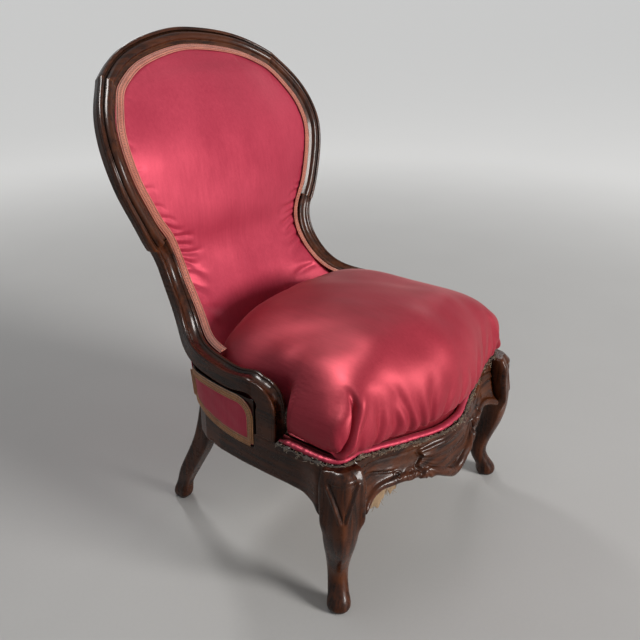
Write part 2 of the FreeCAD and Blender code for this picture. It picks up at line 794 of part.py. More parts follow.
def seat_outline(inset, width_share, length_share, wing_share, z):
    """Level outline of the seat, drawn in by two shares, with this much wing."""
    reach = S.cushion_front_reach - inset
    back = S.cushion_back_set - inset
    arm_face = ARM_FRONT_SHARE * S.frame_half_width - S.moulding_half_width
    narrow = arm_face - S.cushion_arm_gap - inset
    corner = (S.cushion_half_width - inset - narrow) * wing_share
    wide = narrow + corner
    wing = S.arm_front_set - S.cushion_arm_gap - inset
    middle = (back - reach) / 2

    def place(x, y):
        return V(x * width_share, front_line + between(middle, y, length_share), z)

    def flip(point):
        return (-point[0], point[1])

    tip, bow, turn, shoulder = [(x * wide, y * reach) for x, y in FRONT_ARC_SHARES]
    hip, side = [(x * wide, y * reach) for x, y in WING_ARC_SHARES]
    wing_end = (wide, wing - corner / 2)
    wing_turn = (wide - corner * 0.15, wing - corner * 0.15)
    notch = (wide - corner / 2, wing)
    flank = (narrow, wing + corner / 4)
    rear_flank = (narrow, REAR_START_SHARE * back)
    rear_turn, rear_bow = [(x * narrow, y * back) for x, y in REAR_CORNER_SHARES]
    segments = [
        (rear_flank,),
        (rear_turn, rear_bow),
        ((0, back), flip(rear_bow)),
        (flip(rear_turn), flip(rear_flank)),
        (flip(flank),),
        (flip(notch),),
        (flip(wing_turn), flip(wing_end)),
        (flip(side),),
        (flip(hip), flip(shoulder)),
        (flip(turn), flip(bow)),
        (tip, bow),
        (turn, shoulder),
        (hip, side),
        (wing_end,),
        (wing_turn, notch),
    ]
    return outline(flank, segments, place)


# Seat levels: share of its rise, of its width and length there, and how much of the
# front wings is left.
SEAT_LEVEL_SHARES = [
    (0.00, 0.950, 0.950, 1.00),
    (0.06, 0.982, 0.982, 1.00),
    (0.20, 1.000, 1.000, 1.00),
    (0.36, 0.985, 0.985, 0.90),
    (0.52, 0.920, 0.945, 0.72),
    (0.67, 0.815, 0.875, 0.50),
    (0.80, 0.670, 0.770, 0.32),
    (0.90, 0.500, 0.620, 0.20),
    (0.965, 0.320, 0.420, 0.14),
    (0.992, 0.160, 0.220, 0.10),
    (1.00, 0.050, 0.070, 0.08),
]


def seat_body(inset):
    wires = []
    for height, width_share, length_share, wing_share in SEAT_LEVEL_SHARES:
        z = S.cushion_bottom + height * (S.cushion_rise - inset)
        wires.append(seat_outline(inset, width_share, length_share, wing_share, z))
    return loft(wires)


spring_middle = front_line + S.spring_set + S.spring_pitch_y


TENT_WAIST_SHARE = 0.35


def spring_tent(grow, top, base):
    """Solid over the springs, from a flange on the rails up to their tops."""
    side_reach = S.spring_pitch_x + S.hessian_margin
    front_reach = S.spring_pitch_y + S.hessian_margin
    flange = S.side_rail_half_width - S.side_rail_thickness + S.hessian_flange
    wires = []
    for z, half_x, half_y in (
        (base, flange, front_reach),
        (between(base, top, TENT_WAIST_SHARE), side_reach, front_reach),
        (top, side_reach - S.hessian_draw, front_reach - S.hessian_draw),
    ):
        centre = V(0, spring_middle, z)
        wires.append(rounded_section(centre, half_x + grow, half_y + grow, S.hessian_margin))
    return loft(wires, True)


tent_base = S.rail_top + S.fit_gap
hessian_top = S.spring_top + S.fit_gap + S.hessian_thickness
tent_outer = spring_tent(S.hessian_thickness, hessian_top, tent_base)
tent_inner = spring_tent(0, S.spring_top + S.fit_gap, tent_base)
seat_hessian_solid = tent_outer.cut(tent_inner).Solids[0]
stuffing_body = seat_body(S.cloth_thickness)
seat_cover_solid = seat_body(0).cut(stuffing_body).Solids[0]
seat_stuffing_solid = stuffing_body.cut(tent_outer).Solids[0]


# Seat springs: waisted coils of wire. The wire's line is made of arcs that meet in the
# same direction, two for each half turn.
SPRING_TURNS = 5
GAP_STEPS = 16


def spring_spot(turn):
    """Point on the wire's middle line after this many turns, and its direction."""
    low = S.rail_bottom + S.spring_wire_radius
    rise = S.spring_top - S.spring_wire_radius - low
    flare = S.spring_radius - S.spring_waist_radius
    side = 2 * turn / SPRING_TURNS - 1
    radius = S.spring_waist_radius + flare * side**2
    growth = 4 * flare * side / SPRING_TURNS
    round_way = 2 * math.pi * radius
    c, s = math.cos(2 * math.pi * turn), math.sin(2 * math.pi * turn)
    spot = V(radius * c, radius * s, low + rise * turn / SPRING_TURNS)
    way = V(growth * c - round_way * s, growth * s + round_way * c, rise / SPRING_TURNS)
    return spot, way.normalize()


def arc_from(start, way, end):
    """Arc that leaves the start in this direction and reaches the end."""
    chord = end - start
    reach = chord.Length
    chord.normalize()
    turn = math.acos(way.dot(chord))
    bulge = (way - chord * way.dot(chord)).normalize()
    middle = start + (end - start) / 2 + bulge * (reach / 2 * math.tan(turn / 2))
    return Part.Arc(start, middle, end).toShape()


def two_arcs(start, start_way, end, end_way):
    """Two arcs that join two points in these directions."""
    span = end - start
    both_ways = span.dot(start_way + end_way)
    opening = 2 * (1 - start_way.dot(end_way))
    reach = (math.sqrt(both_ways**2 + opening * span.dot(span)) - both_ways) / opening
    joint = (start + start_way * reach + end - end_way * reach) / 2
    return [arc_from(start, start_way, joint), arc_from(end, end_way * -1, joint)]


def spring_wire():
    edges = []
    for half_turn in range(2 * SPRING_TURNS):
        start, start_way = spring_spot(half_turn / 2)
        end, end_way = spring_spot((half_turn + 1) / 2)
        edges += two_arcs(start, start_way, end, end_way)
    spot, way = spring_spot(0)
    circle = Part.Wire([Part.Circle(spot, way, S.spring_wire_radius).toShape()])
    pipe = Part.BRepOffsetAPI.MakePipeShell(Part.Wire(edges))
    pipe.add(circle)
    pipe.build()
    pipe.makeSolid()
    return pipe.shape()


def spring_gap():
    """Least gap between the turns of a spring, measured on points."""
    spots = [spring_spot(step / GAP_STEPS)[0] for step in range(SPRING_TURNS * GAP_STEPS + 1)]
    nearest = min(
        here.distanceToPoint(there)
        for i, here in enumerate(spots)
        for there in spots[i + GAP_STEPS // 2 :]
    )
    return nearest - 2 * S.spring_wire_radius


def spring_group():
    one = spring_wire()
    springs = []
    for column in (-1, 0, 1):
        for row in (-1, 0, 1):
            spot = V(column * S.spring_pitch_x, spring_middle + row * S.spring_pitch_y, 0)
            springs.append(one.translated(spot))
    return Part.makeCompound(springs)


# Band and border roll on the rails' upper edge, from one arm round the front to the
# other. Rows for the corner and side: share of the foot spacing and of the foot run.
BORDER_SIDE_SHARES = [
    (0.850, 0.014),
    (0.945, 0.020),
    (0.988, 0.045),
    (1.006, 0.090),
    (1.010, 0.150),
    (1.010, 0.210),
    (1.010, 0.285),
]


def border_stations():
    """Points on the rail's upper edge, from the left arm round to the right arm."""
    spots = []
    for x_share, bow_top, bow_low, dip, drop in FRONT_RAIL_SHARES[:7]:
        y = front_line - bow_top * S.front_bow + S.border_inset + S.border_width / 2
        spots.append(V(x_share * S.front_foot_half_spacing, y, S.rail_top - dip * S.front_dip))
    for x_share, y_share in BORDER_SIDE_SHARES:
        y = front_line + y_share * S.foot_run
        spots.append(V(x_share * S.front_foot_half_spacing, y, S.rail_top))
    return [V(-p.x, p.y, p.z) for p in reversed(spots[1:])] + spots


def border_band(low_of, high_of, near, far, crown):
    """Band along the border line between two distances inside it."""
    spots = border_stations()
    wires = []
    for before, spot, after in zip(spots[:1] + spots, spots, spots[1:] + spots[-1:]):
        along = after - before
        inward = V(-along.y, along.x, 0).normalize()

        def place(across, z):
            return V(spot.x, spot.y, 0) + inward * across + V(0, 0, z)

        low, high = low_of(spot), high_of(spot)
        shoulder = high - crown
        middle = (near + far) / 2
        segments = [((far, low),), ((far, shoulder),), ((middle, high), (near, shoulder))]
        wires.append(outline((near, low), segments, place))
    return loft(wires)


half_border = S.border_width / 2
border_roll_solid = border_band(
    lambda p: p.z + S.fit_gap, lambda p: p.z + S.border_height, -half_border, half_border, half_border / 2
)
band_solid = border_band(
    lambda p: p.z + S.fit_gap,
    lambda p: S.cushion_bottom - S.fit_gap,
    half_border + S.fit_gap,
    half_border + S.fit_gap + S.panel_thickness,
    S.fit_gap,
)


# Webbing under the rails: strips across it and, just below them, strips along it.
# Rows for the latter: share of the spring pitch, and both ends as shares of the foot run.
LONG_STRIP_SHARES = [(-1, -0.012, 0.865), (0, -0.085, 0.930), (1, -0.012, 0.865)]
CROSS_STRIP_SHARES = [(-1, 1.0), (0, 1.0), (1, 0.9)]
webbing_middle = S.rail_bottom - S.webbing_thickness
webbing_low = webbing_middle - S.webbing_thickness


def tacks(x, y, across, z):
    """Three tacks side by side under the end of a strip."""
    heads = []
    for step in (-1, 0, 1):
        spot = V(x, y, z) + across * (step * S.tack_pitch)
        heads.append(Part.makeCylinder(S.tack_radius, S.tack_height, spot, V(0, 0, -1)))
    return heads


strips = []
tack_heads = []
for row_share, reach_share in CROSS_STRIP_SHARES:
    y = spring_middle + row_share * S.spring_pitch_y
    reach = reach_share * S.webbing_half_length
    corner = V(-reach, y - S.webbing_width / 2, webbing_middle)
    strips.append(Part.makeBox(2 * reach, S.webbing_width, S.webbing_thickness, corner))
    for side in (-1, 1):
        x = side * (reach - S.tack_end_set)
        tack_heads += tacks(x, y, V(0, 1, 0), webbing_middle)
for column_share, front_share, rear_share in LONG_STRIP_SHARES:
    x = column_share * S.spring_pitch_x
    start = front_line + front_share * S.foot_run
    end = front_line + rear_share * S.foot_run
    corner = V(x - S.webbing_width / 2, start, webbing_low)
    strips.append(Part.makeBox(S.webbing_width, end - start, S.webbing_thickness, corner))
    for y in (start + S.tack_end_set, end - S.tack_end_set):
        tack_heads += tacks(x, y, V(1, 0, 0), webbing_low)

# Room in the side rails for the ends of the crosswise strips.
strip_rooms = []
for row_share, reach_share in CROSS_STRIP_SHARES:
    reach = reach_share * S.webbing_half_length + S.fit_gap
    start = spring_middle + row_share * S.spring_pitch_y - S.webbing_width / 2 - S.fit_gap
    corner = V(0, start, S.rail_bottom - S.webbing_width)
    strip_rooms.append(Part.makeBox(reach, S.webbing_width + 2 * S.fit_gap, S.webbing_width, corner))

# Bottom cloth below the webbing. Corners: share of the rail's half width, of the foot run.
BOTTOM_SHARES = [
    (0.00, -0.055),
    (0.45, -0.015),
    (0.72, 0.020),
    (0.76, 0.120),
    (0.86, 0.200),
    (0.91, 0.270),
    (0.91, 0.600),
    (0.66, 0.740),
    (0.55, 0.850),
    (0.00, 0.950),
]
cloth_top = webbing_low - S.tack_height


def level_prism(corners, low, high):
    """Upright prism over corners given in shares of rail half width and foot run."""
    points = []
    for x_share, y_share in corners:
        x, y = x_share * S.side_rail_half_width, front_line + y_share * S.foot_run
        points.append(V(x, y, low))
    face = Part.Face(Part.makePolygon(points + points[:1]))
    return face.extrude(V(0, 0, high - low))


bottom_left = [(-x, y) for x, y in reversed(BOTTOM_SHARES[1:-1])]
bottom_cloth_solid = level_prism(BOTTOM_SHARES + bottom_left, cloth_top - S.hessian_thickness, cloth_top)

# Hessian torn loose, hanging under the front rail beside the left leg. Corners: share of
# its width and of its length downwards.
SCRAP_SHARES = [(0, 0), (1, 0), (0.95, 0.35), (1.1, 0.6), (0.8, 1), (0.45, 0.75), (0.2, 0.95), (-0.1, 0.5)]
scrap_x = -1.5 * S.spring_pitch_x
scrap_y = front_line + S.hessian_scrap_width / 2
scrap_points = []
for across_share, down_share in SCRAP_SHARES:
    x = scrap_x + across_share * S.hessian_scrap_width
    z = cloth_top - S.hessian_thickness - down_share * S.hessian_scrap_length
    scrap_points.append(V(x, scrap_y, z))
scrap_face = Part.Face(Part.makePolygon(scrap_points + scrap_points[:1]))
hessian_scrap_solid = scrap_face.extrude(V(0, S.hessian_thickness, 0))

# Corner blocks, wedges in the corners of the seat frame, and their screws. Corners of a
# wedge: share of the rail's half width and of the foot run. Screws: the same for the
# head, share of the way up the rails, and direction.
BLOCK_SHARES = {
    "front": [(0.890, -0.037), (0.370, -0.037), (0.890, 0.320)],
    "rear": [(0.830, 0.868), (0.360, 0.868), (0.830, 0.555)],
}
SCREW_SHARES = {
    "front": [(0.735, 0.160, 0.26, V(1, 0, 0)), (0.720, 0.148, 0.50, V(0, -1, 0))],
    "rear": [(0.705, 0.659, 0.26, V(1, 0, 0)), (0.625, 0.722, 0.50, V(0, 1, 0))],
}
BLOCK_BASE_SHARE = 0.13
BLOCK_TOP_SHARE = 0.62


def block_screw(row, grow, head_height):
    """Screw with a flat head; grown and with a long head it is the hole for one."""
    x_share, y_share, lift, way = row
    x, y = x_share * S.side_rail_half_width, front_line + y_share * S.foot_run
    spot = V(x, y, between(S.rail_bottom, S.rail_top, lift))
    shank = Part.makeCylinder(S.screw_radius + grow, S.screw_length + grow, spot, way)
    head = Part.makeCylinder(S.screw_head_radius + grow, head_height, spot, way * -1)
    return shank.fuse(head).removeSplitter()


block_low = between(S.rail_bottom, S.rail_top, BLOCK_BASE_SHARE)
block_high = between(S.rail_bottom, S.rail_top, BLOCK_TOP_SHARE)
blocks = {place: level_prism(corners, block_low, block_high) for place, corners in BLOCK_SHARES.items()}
screw_rows = SCREW_SHARES["front"] + SCREW_SHARES["rear"]
screws = [block_screw(row, 0, S.screw_head_radius / 2) for row in screw_rows]
screw_holes = [block_screw(row, S.fit_gap, S.block_leg) for row in screw_rows]

# Dowels in the frame's joints: crest to stile, and stile to arm.
JOINT_SHARES = [(0, 0.42), (0, -0.42)]


def joint_dowels(station, grow):
    along = station.across.cross(station.face)
    dowels = []
    for along_share, across_share in JOINT_SHARES:
        middle = station.at(across_share * S.moulding_half_width, -S.moulding_depth / 2)
        half = S.dowel_length / 2 + grow
        start = middle - along * half
        dowels.append(Part.makeCylinder(S.dowel_radius + grow, 2 * half, start, along))
    return dowels


joints = [crest_half[-1], stile_line[-1]]
dowels = [d for station in joints for d in joint_dowels(station, 0)]
dowel_holes = [d for station in joints for d in joint_dowels(station, S.fit_gap)]


print("least gap in a spring", round(spring_gap(), 2))


def both(shapes):
    """The shapes and their mirror images."""
    return shapes + [mirrored(shape) for shape in shapes]


both_front_legs = both([front_leg_solid])
rear_leg_solid = without(rear_leg_solid, [arm_solid])
both_rear_legs = both([rear_leg_solid])
side_rail_solid = without(side_rail(), [front_leg_solid, rear_leg_solid, rebate] + strip_rooms)
both_side_rails = both([side_rail_solid])
front_rail_solid = without(front_rail(), both_front_legs + both_side_rails)
rear_rail_solid = curved_rail(REAR_RAIL_SHARES, S.rail_bottom, S.rail_top, S.rail_thickness)
rear_rail_solid = without(rear_rail_solid, both_rear_legs + both_side_rails)
rails = [front_rail_solid, side_rail_solid, rear_rail_solid]
block_solids = {
    place: without(block, rails + [front_leg_solid, rear_leg_solid] + screw_holes)
    for place, block in blocks.items()
}
side_rail_solid = without(side_rail_solid, screw_holes)
front_rail_solid = without(front_rail_solid, both(screw_holes))
rear_rail_solid = without(rear_rail_solid, both(screw_holes))
crest_solid = without(crest_solid, both(dowel_holes))
stile_solid = without(stile_solid, dowel_holes)
arm_solid = without(arm_solid, dowel_holes)
frame_solids = [crest_solid] + both([stile_solid, arm_solid])
outer_back_solid = without(outer_back_solid, frame_solids + both_rear_legs)

feature("crest_rail", crest_solid)
feature_pair("back_stile", stile_solid)
feature_pair("arm", arm_solid)
feature("frame_dowels", Part.makeCompound(both(dowels)))
feature_pair("front_leg", front_leg_solid)
feature_pair("rear_leg", rear_leg_solid)
feature_pair("side_seat_rail", side_rail_solid)
feature("front_seat_rail", front_rail_solid)
feature("rear_seat_rail", rear_rail_solid)
feature_pair("front_corner_block", block_solids["front"])
feature_pair("rear_corner_block", block_solids["rear"])
feature("block_screws", Part.makeCompound(both(screws)))
feature("back_tacking_rail", without(tacking_rail_solid, both_rear_legs))
feature_pair("side_panel", side_panel_solid)
feature_pair("side_gimp", side_gimp_solid)
feature_pair("inside_arm", without(inside_arm(), [arm_solid]))
feature("back_cover", back_cover_solid)
feature("back_stuffing", back_stuffing_solid)
feature("back_hessian", back_hessian_solid)
feature("back_webbing", Part.makeCompound([back_strip(*row) for row in BACK_STRIP_SHARES]))
feature("outer_back_cover", outer_back_solid)
feature("inner_back_gimp", without(inner_gimp_solid, both([arm_solid])))
feature("seat_cover", seat_cover_solid)
feature("seat_stuffing", seat_stuffing_solid)
feature("seat_hessian", seat_hessian_solid)
feature("seat_springs", spring_group())
feature("seat_webbing", Part.makeCompound(strips))
feature("webbing_tacks", Part.makeCompound(tack_heads))
feature("bottom_cloth", bottom_cloth_solid)
feature("hessian_scrap", hessian_scrap_solid)
feature("seat_border_roll", without(border_roll_solid, both_front_legs + [front_rail_solid]))
feature("seat_border_band", band_solid)

doc.recompute()
failed = [o.Name for o in doc.Objects if "Invalid" in o.State or "Error" in o.State]
for piece in pieces:
    if piece.Shape.isNull() or not piece.Shape.isValid():
        failed.append(piece.Label)
if failed:
    raise RuntimeError("failed objects: " + ", ".join(failed))

os.makedirs("parts", exist_ok=True)
for piece in pieces:
    piece.Shape.exportStep("parts/%s.step" % piece.Label)
box = Part.makeCompound([piece.Shape for piece in pieces]).BoundBox
print("box", [round(value, 1) for value in (box.XMin, box.YMin, box.ZMin, box.XMax, box.YMax, box.ZMax)])
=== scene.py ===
"""Looks of the dressing chair: upholstery, braid, carving, finishes and studio."""

import math

import bpy
import numpy as np
from mathutils import Matrix, Vector


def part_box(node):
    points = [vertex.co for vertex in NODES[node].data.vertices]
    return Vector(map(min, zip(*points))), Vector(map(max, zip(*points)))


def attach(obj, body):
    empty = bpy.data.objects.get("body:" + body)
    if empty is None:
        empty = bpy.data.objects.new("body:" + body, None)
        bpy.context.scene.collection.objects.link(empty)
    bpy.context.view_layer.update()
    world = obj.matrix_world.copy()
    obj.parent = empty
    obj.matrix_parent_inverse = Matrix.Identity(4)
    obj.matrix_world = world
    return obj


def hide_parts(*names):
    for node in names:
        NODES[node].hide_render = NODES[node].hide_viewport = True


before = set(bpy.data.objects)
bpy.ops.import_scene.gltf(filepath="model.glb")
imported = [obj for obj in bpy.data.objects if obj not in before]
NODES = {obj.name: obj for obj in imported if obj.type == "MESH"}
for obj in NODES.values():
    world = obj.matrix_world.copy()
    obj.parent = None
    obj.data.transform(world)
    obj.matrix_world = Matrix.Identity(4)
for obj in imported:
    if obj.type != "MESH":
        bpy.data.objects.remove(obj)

bl_info = {
    "name": "Dressing Chair",
    "version": (1, 0, 0),
    "blender": (4, 5, 0),
    "location": "View3D > Sidebar > Chair",
    "description": "Builds the looks of an upholstered dressing chair",
    "category": "Object",
}

# Sizes shared with the frame, in metres.
FRONT_LINE = -0.275  # line of the front feet
FOOT_RUN = 0.431  # front feet to rear feet
FOOT_SPACING = 0.252  # front feet from the middle
FRAME_HALF = 0.2535  # half width of the frame's middle line
FRAME_REACH = 0.464  # front of the arm to the crown
FRAME_RISE = 0.477  # top of the arm to the crown
ARM_TOP = 0.373
ARM_SET = 0.127  # front of the arm behind the front feet
MOULDING_HALF = 0.0165
RAIL_TOP = 0.279
RAIL_LOW = 0.205
FRONT_BOW = 0.060
FRONT_DIP = 0.023
HAIR = 0.0006  # play between pieces that touch


# Curves


def unit(v):
    return v / np.maximum(np.linalg.norm(v, axis=-1, keepdims=True), 1e-12)


def flip_x(points):
    return np.asarray(points) * np.array([-1, 1, 1])


def both_sides(rows):
    """Rows from the left end to the right end, from those of the right side."""
    left = rows[:0:-1].copy()
    left[:, 0] *= -1
    return np.vstack([left, rows])


def ramp(low, high, value):
    """Smooth step from 0 at low to 1 at high."""
    t = np.clip((value - low) / (high - low), 0, 1)
    return t * t * (3 - 2 * t)


def bell(value, centre, width):
    """1 at the centre, fading over this width."""
    return np.exp(-(((value - centre) / width) ** 2))


def ripple(x, y, seed):
    """Smooth repeatable noise from a few waves, about -1 to 1."""
    rng = np.random.default_rng(seed)
    total = np.zeros_like(x)
    for _ in range(6):
        angle, phase = rng.uniform(0, 2 * math.pi, 2)
        pitch = rng.uniform(0.6, 1.7)
        total += np.sin((x * math.cos(angle) + y * math.sin(angle)) * pitch * 2 * math.pi + phase)
    return total / 3.5


def lengths(path):
    """Distance along a path at each of its points."""
    return np.concatenate([[0], np.cumsum(np.linalg.norm(np.diff(path, axis=0), axis=1))])


def headings(path):
    return unit(np.gradient(path, axis=0))


def spline(points, count):
    """Natural cubic spline through rows of numbers, by the distance between their places."""
    p = np.asarray(points, float)
    t = lengths(p[:, :3])
    n = len(t)
    matrix = np.eye(n)
    right = np.zeros_like(p)
    for i in range(1, n - 1):
        a, b = t[i] - t[i - 1], t[i + 1] - t[i]
        matrix[i, i - 1 : i + 2] = a, 2 * (a + b), b
        right[i] = 6 * ((p[i + 1] - p[i]) / b - (p[i] - p[i - 1]) / a)
    bend = np.linalg.solve(matrix, right)
    s = np.linspace(0, 1, count) * t[-1]
    k = np.clip(np.searchsorted(t, s, side="right") - 1, 0, n - 2)
    h = (t[k + 1] - t[k])[:, None]
    u = (s - t[k])[:, None] / h
    low, high = p[k], p[k + 1]
    curve = (u**3 - u) * bend[k + 1] + ((1 - u) ** 3 - (1 - u)) * bend[k]
    return low + (high - low) * u + curve * h**2 / 6


# The frame's middle line, from the crown down one side to the arm's foot. Rows: share
# of the half width, of the reach, of the rise, and lean in degrees.
LINE_ROWS = [
    (0.000, 1.000, 1.000, 36),
    (0.205, 0.991, 0.992, 36),
    (0.402, 0.975, 0.974, 36),
    (0.565, 0.955, 0.949, 37),
    (0.712, 0.925, 0.912, 37),
    (0.800, 0.901, 0.882, 36),
    (0.903, 0.849, 0.812, 32),
    (0.972, 0.802, 0.740, 28),
    (1.000, 0.761, 0.665, 24),
    (0.998, 0.737, 0.606, 19),
    (0.968, 0.718, 0.529, 13),
    (0.909, 0.702, 0.444, 9),
    (0.840, 0.692, 0.362, 3),
    (0.791, 0.689, 0.320, 1),
    (0.752, 0.686, 0.272, 6),
    (0.732, 0.670, 0.214, 20),
    (0.733, 0.645, 0.165, 31),
    (0.750, 0.599, 0.105, 42),
    (0.789, 0.547, 0.055, 53),
    (0.852, 0.488, 0.022, 68),
    (0.921, 0.406, 0.008, 82),
    (0.964, 0.291, 0.000, 88),
    (0.978, 0.190, 0.000, 90),
    (0.976, 0.103, 0.000, 90),
]


def way_out(lean):
    """The way that the frame faces at this lean."""
    turn = np.radians(lean)
    return np.stack([0 * turn, -np.cos(turn), np.sin(turn)], -1)


def frame_points():
    """Place and lean of each row on the right side."""
    arm_front = FRONT_LINE + ARM_SET
    return np.array([
        (x * FRAME_HALF, arm_front + y * FRAME_REACH, ARM_TOP + z * FRAME_RISE, lean)
        for x, y, z, lean in LINE_ROWS
    ])


def frame_line(per_row):
    """Points, faces and ways across on the right side's line, crown first."""
    right = frame_points()
    whole = spline(both_sides(right), (len(right) * 2 - 2) * per_row + 1)
    point, face = whole[:, :3], way_out(whole[:, 3])
    across = unit(np.cross(face, headings(point)))
    middle = len(whole) // 2
    return point[middle:], face[middle:], across[middle:]


def at_rows(across, out):
    """Edge points at each of the frame's own rows, moved across and out."""
    rows = frame_points()
    point = spline(both_sides(rows), 2401)[:, :3]
    nearest = [int(np.argmin(np.linalg.norm(point - row[:3], axis=1))) for row in rows]
    face = way_out(rows[:, 3])
    side = unit(np.cross(face, headings(point)[nearest]))
    return rows[:, :3] + side * across + face * out


# Meshes


def make_object(name, verts, faces, finish=None):
    mesh = bpy.data.meshes.new(name)
    mesh.from_pydata(np.asarray(verts).tolist(), [], faces)
    mesh.update()
    mesh.polygons.foreach_set("use_smooth", [True] * len(mesh.polygons))
    obj = bpy.data.objects.new(name, mesh)
    bpy.context.scene.collection.objects.link(obj)
    if finish:
        mesh.materials.append(material(finish))
    return obj


def ring_faces(rows, columns, start):
    """Faces over rings of points, with a cap on the first and the last ring."""
    faces = []
    for r in range(rows - 1):
        for c in range(columns):
            a = start + r * columns + c
            b = start + r * columns + (c + 1) % columns
            faces.append((a, b, b + columns, a + columns))
    faces.append(tuple(range(start + columns - 1, start - 1, -1)))
    faces.append(tuple(range(start + (rows - 1) * columns, start + rows * columns)))
    return faces


def join_skins(name, parts, finish=None):
    """One object from several stacks of rings, each a closed skin."""
    parts = [np.asarray(rings) for rings in parts]
    faces, count = [], 0
    for rings in parts:
        rows, columns = rings.shape[:2]
        faces += ring_faces(rows, columns, count)
        count += rows * columns
    verts = np.concatenate([rings.reshape(-1, 3) for rings in parts])
    return make_object(name, verts, faces, finish)


def slab(name, front, back, finish):
    """Closed sheet between two grids of points."""
    return join_skins(name, [np.concatenate([front, back[:, ::-1]], axis=1)], finish)


def tube_rings(path, side, radius, sides=6, flat=1.0):
    """Rings round a path; radius may vary along it."""
    along = headings(path)
    side = unit(side - along * np.sum(side * along, axis=1, keepdims=True))
    out = np.cross(along, side)
    radius = np.broadcast_to(radius, len(path))[:, None]
    turns = np.linspace(0, 2 * math.pi, sides, endpoint=False)
    rings = [path + (side * math.cos(t) + out * math.sin(t) * flat) * radius for t in turns]
    return np.stack(rings, axis=1)


def vectors(items, field):
    """A field of a mesh's vertices or faces as rows of three numbers."""
    flat = np.empty(len(items) * 3)
    items.foreach_get(field, flat)
    return flat.reshape(-1, 3)


def mesh_points(obj):
    return vectors(obj.data.vertices, "co")


def mesh_normals(obj):
    return vectors(obj.data.vertex_normals, "vector")


def set_points(obj, points):
    obj.data.vertices.foreach_set("co", np.asarray(points).ravel())
    obj.data.update()


def evaluated(obj):
    """A new mesh with the object's modifiers in it."""
    depsgraph = bpy.context.evaluated_depsgraph_get()
    return bpy.data.meshes.new_from_object(obj.evaluated_get(depsgraph))


def bake(obj):
    """Applies every modifier."""
    old, obj.data = obj.data, evaluated(obj)
    obj.modifiers.clear()
    bpy.data.meshes.remove(old)
    obj.data.polygons.foreach_set("use_smooth", [True] * len(obj.data.polygons))


def even_mesh(obj, voxel):
    """Meshes the object again in even squares."""
    remesh = obj.modifiers.new("even", "REMESH")
    remesh.mode = "VOXEL"
    remesh.voxel_size = voxel
    bake(obj)


def smooth_where(obj, weights, rounds):
    """Smooths the mesh where the weights say, in ten levels."""
    group = obj.vertex_groups.new(name="soft")
    for level in range(1, 11):
        near = np.nonzero(np.ceil(weights * 10) == level)[0]
        group.add(near.tolist(), level / 10, "REPLACE")
    smooth = obj.modifiers.new("soften", "SMOOTH")
    smooth.factor = 0.5
    smooth.iterations = rounds
    smooth.vertex_group = "soft"
    bake(obj)
    obj.vertex_groups.clear()


def finish_piece(obj, nodes):
    """Hands a piece to the frame, for the nodes it stands for."""
    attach(obj, "root")
    if nodes:
        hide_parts(*nodes)


def side_name(side):
    return "left" if side < 0 else "right"


def on_side(side, *grids):
    """Grids of the right side, mirrored where the left is asked for."""
    return [flip_x(grid) if side < 0 else grid for grid in grids]


# Materials

# Places of the colour sockets on a Mix node.
MIX_LOW, MIX_HIGH, MIX_RESULT = 6, 7, 2


def fill_sockets(tree, node, sockets):
    """Links or sets each of a node's sockets."""
    for key, value in dict(sockets).items():
        value = value.socket if isinstance(value, Wire) else value
        if isinstance(value, bpy.types.NodeSocket):
            tree.links.new(value, node.inputs[key])
        else:
            node.inputs[key].default_value = value


def add_node(tree, kind, settings=(), sockets=()):
    """A node of this kind: first its settings, then its sockets' values or links."""
    node = tree.nodes.new("ShaderNode" + kind)
    for name, value in dict(settings).items():
        setattr(node, name, value)
    fill_sockets(tree, node, sockets)
    return node


class Wire:
    """A shader number: sums and products with it make Math nodes."""

    def __init__(self, tree, socket):
        self.tree = tree
        self.socket = socket

    def math(self, operation, *values):
        node = add_node(self.tree, "Math", {"operation": operation}, dict(enumerate(values)))
        return Wire(self.tree, node.outputs[0])

    def __add__(self, other):
        return self.math("ADD", self, other)

    def __sub__(self, other):
        return self.math("SUBTRACT", self, other)

    def __rsub__(self, other):
        return self.math("SUBTRACT", other, self)

    def __mul__(self, other):
        return self.math("MULTIPLY", self, other)

    __radd__ = __add__
    __rmul__ = __mul__

    def sin(self):
        return self.math("SINE", self)

    def abs(self):
        return self.math("ABSOLUTE", self)

    def highest(self, other):
        return self.math("MAXIMUM", self, other)

    def lowest(self, other):
        return self.math("MINIMUM", self, other)

    def step(self, low, high):
        """Smooth step from 0 at low to 1 at high."""
        sockets = {"Value": self, "From Min": low, "From Max": high}
        node = add_node(self.tree, "MapRange", {"interpolation_type": "SMOOTHSTEP"}, sockets)
        return Wire(self.tree, node.outputs["Result"])


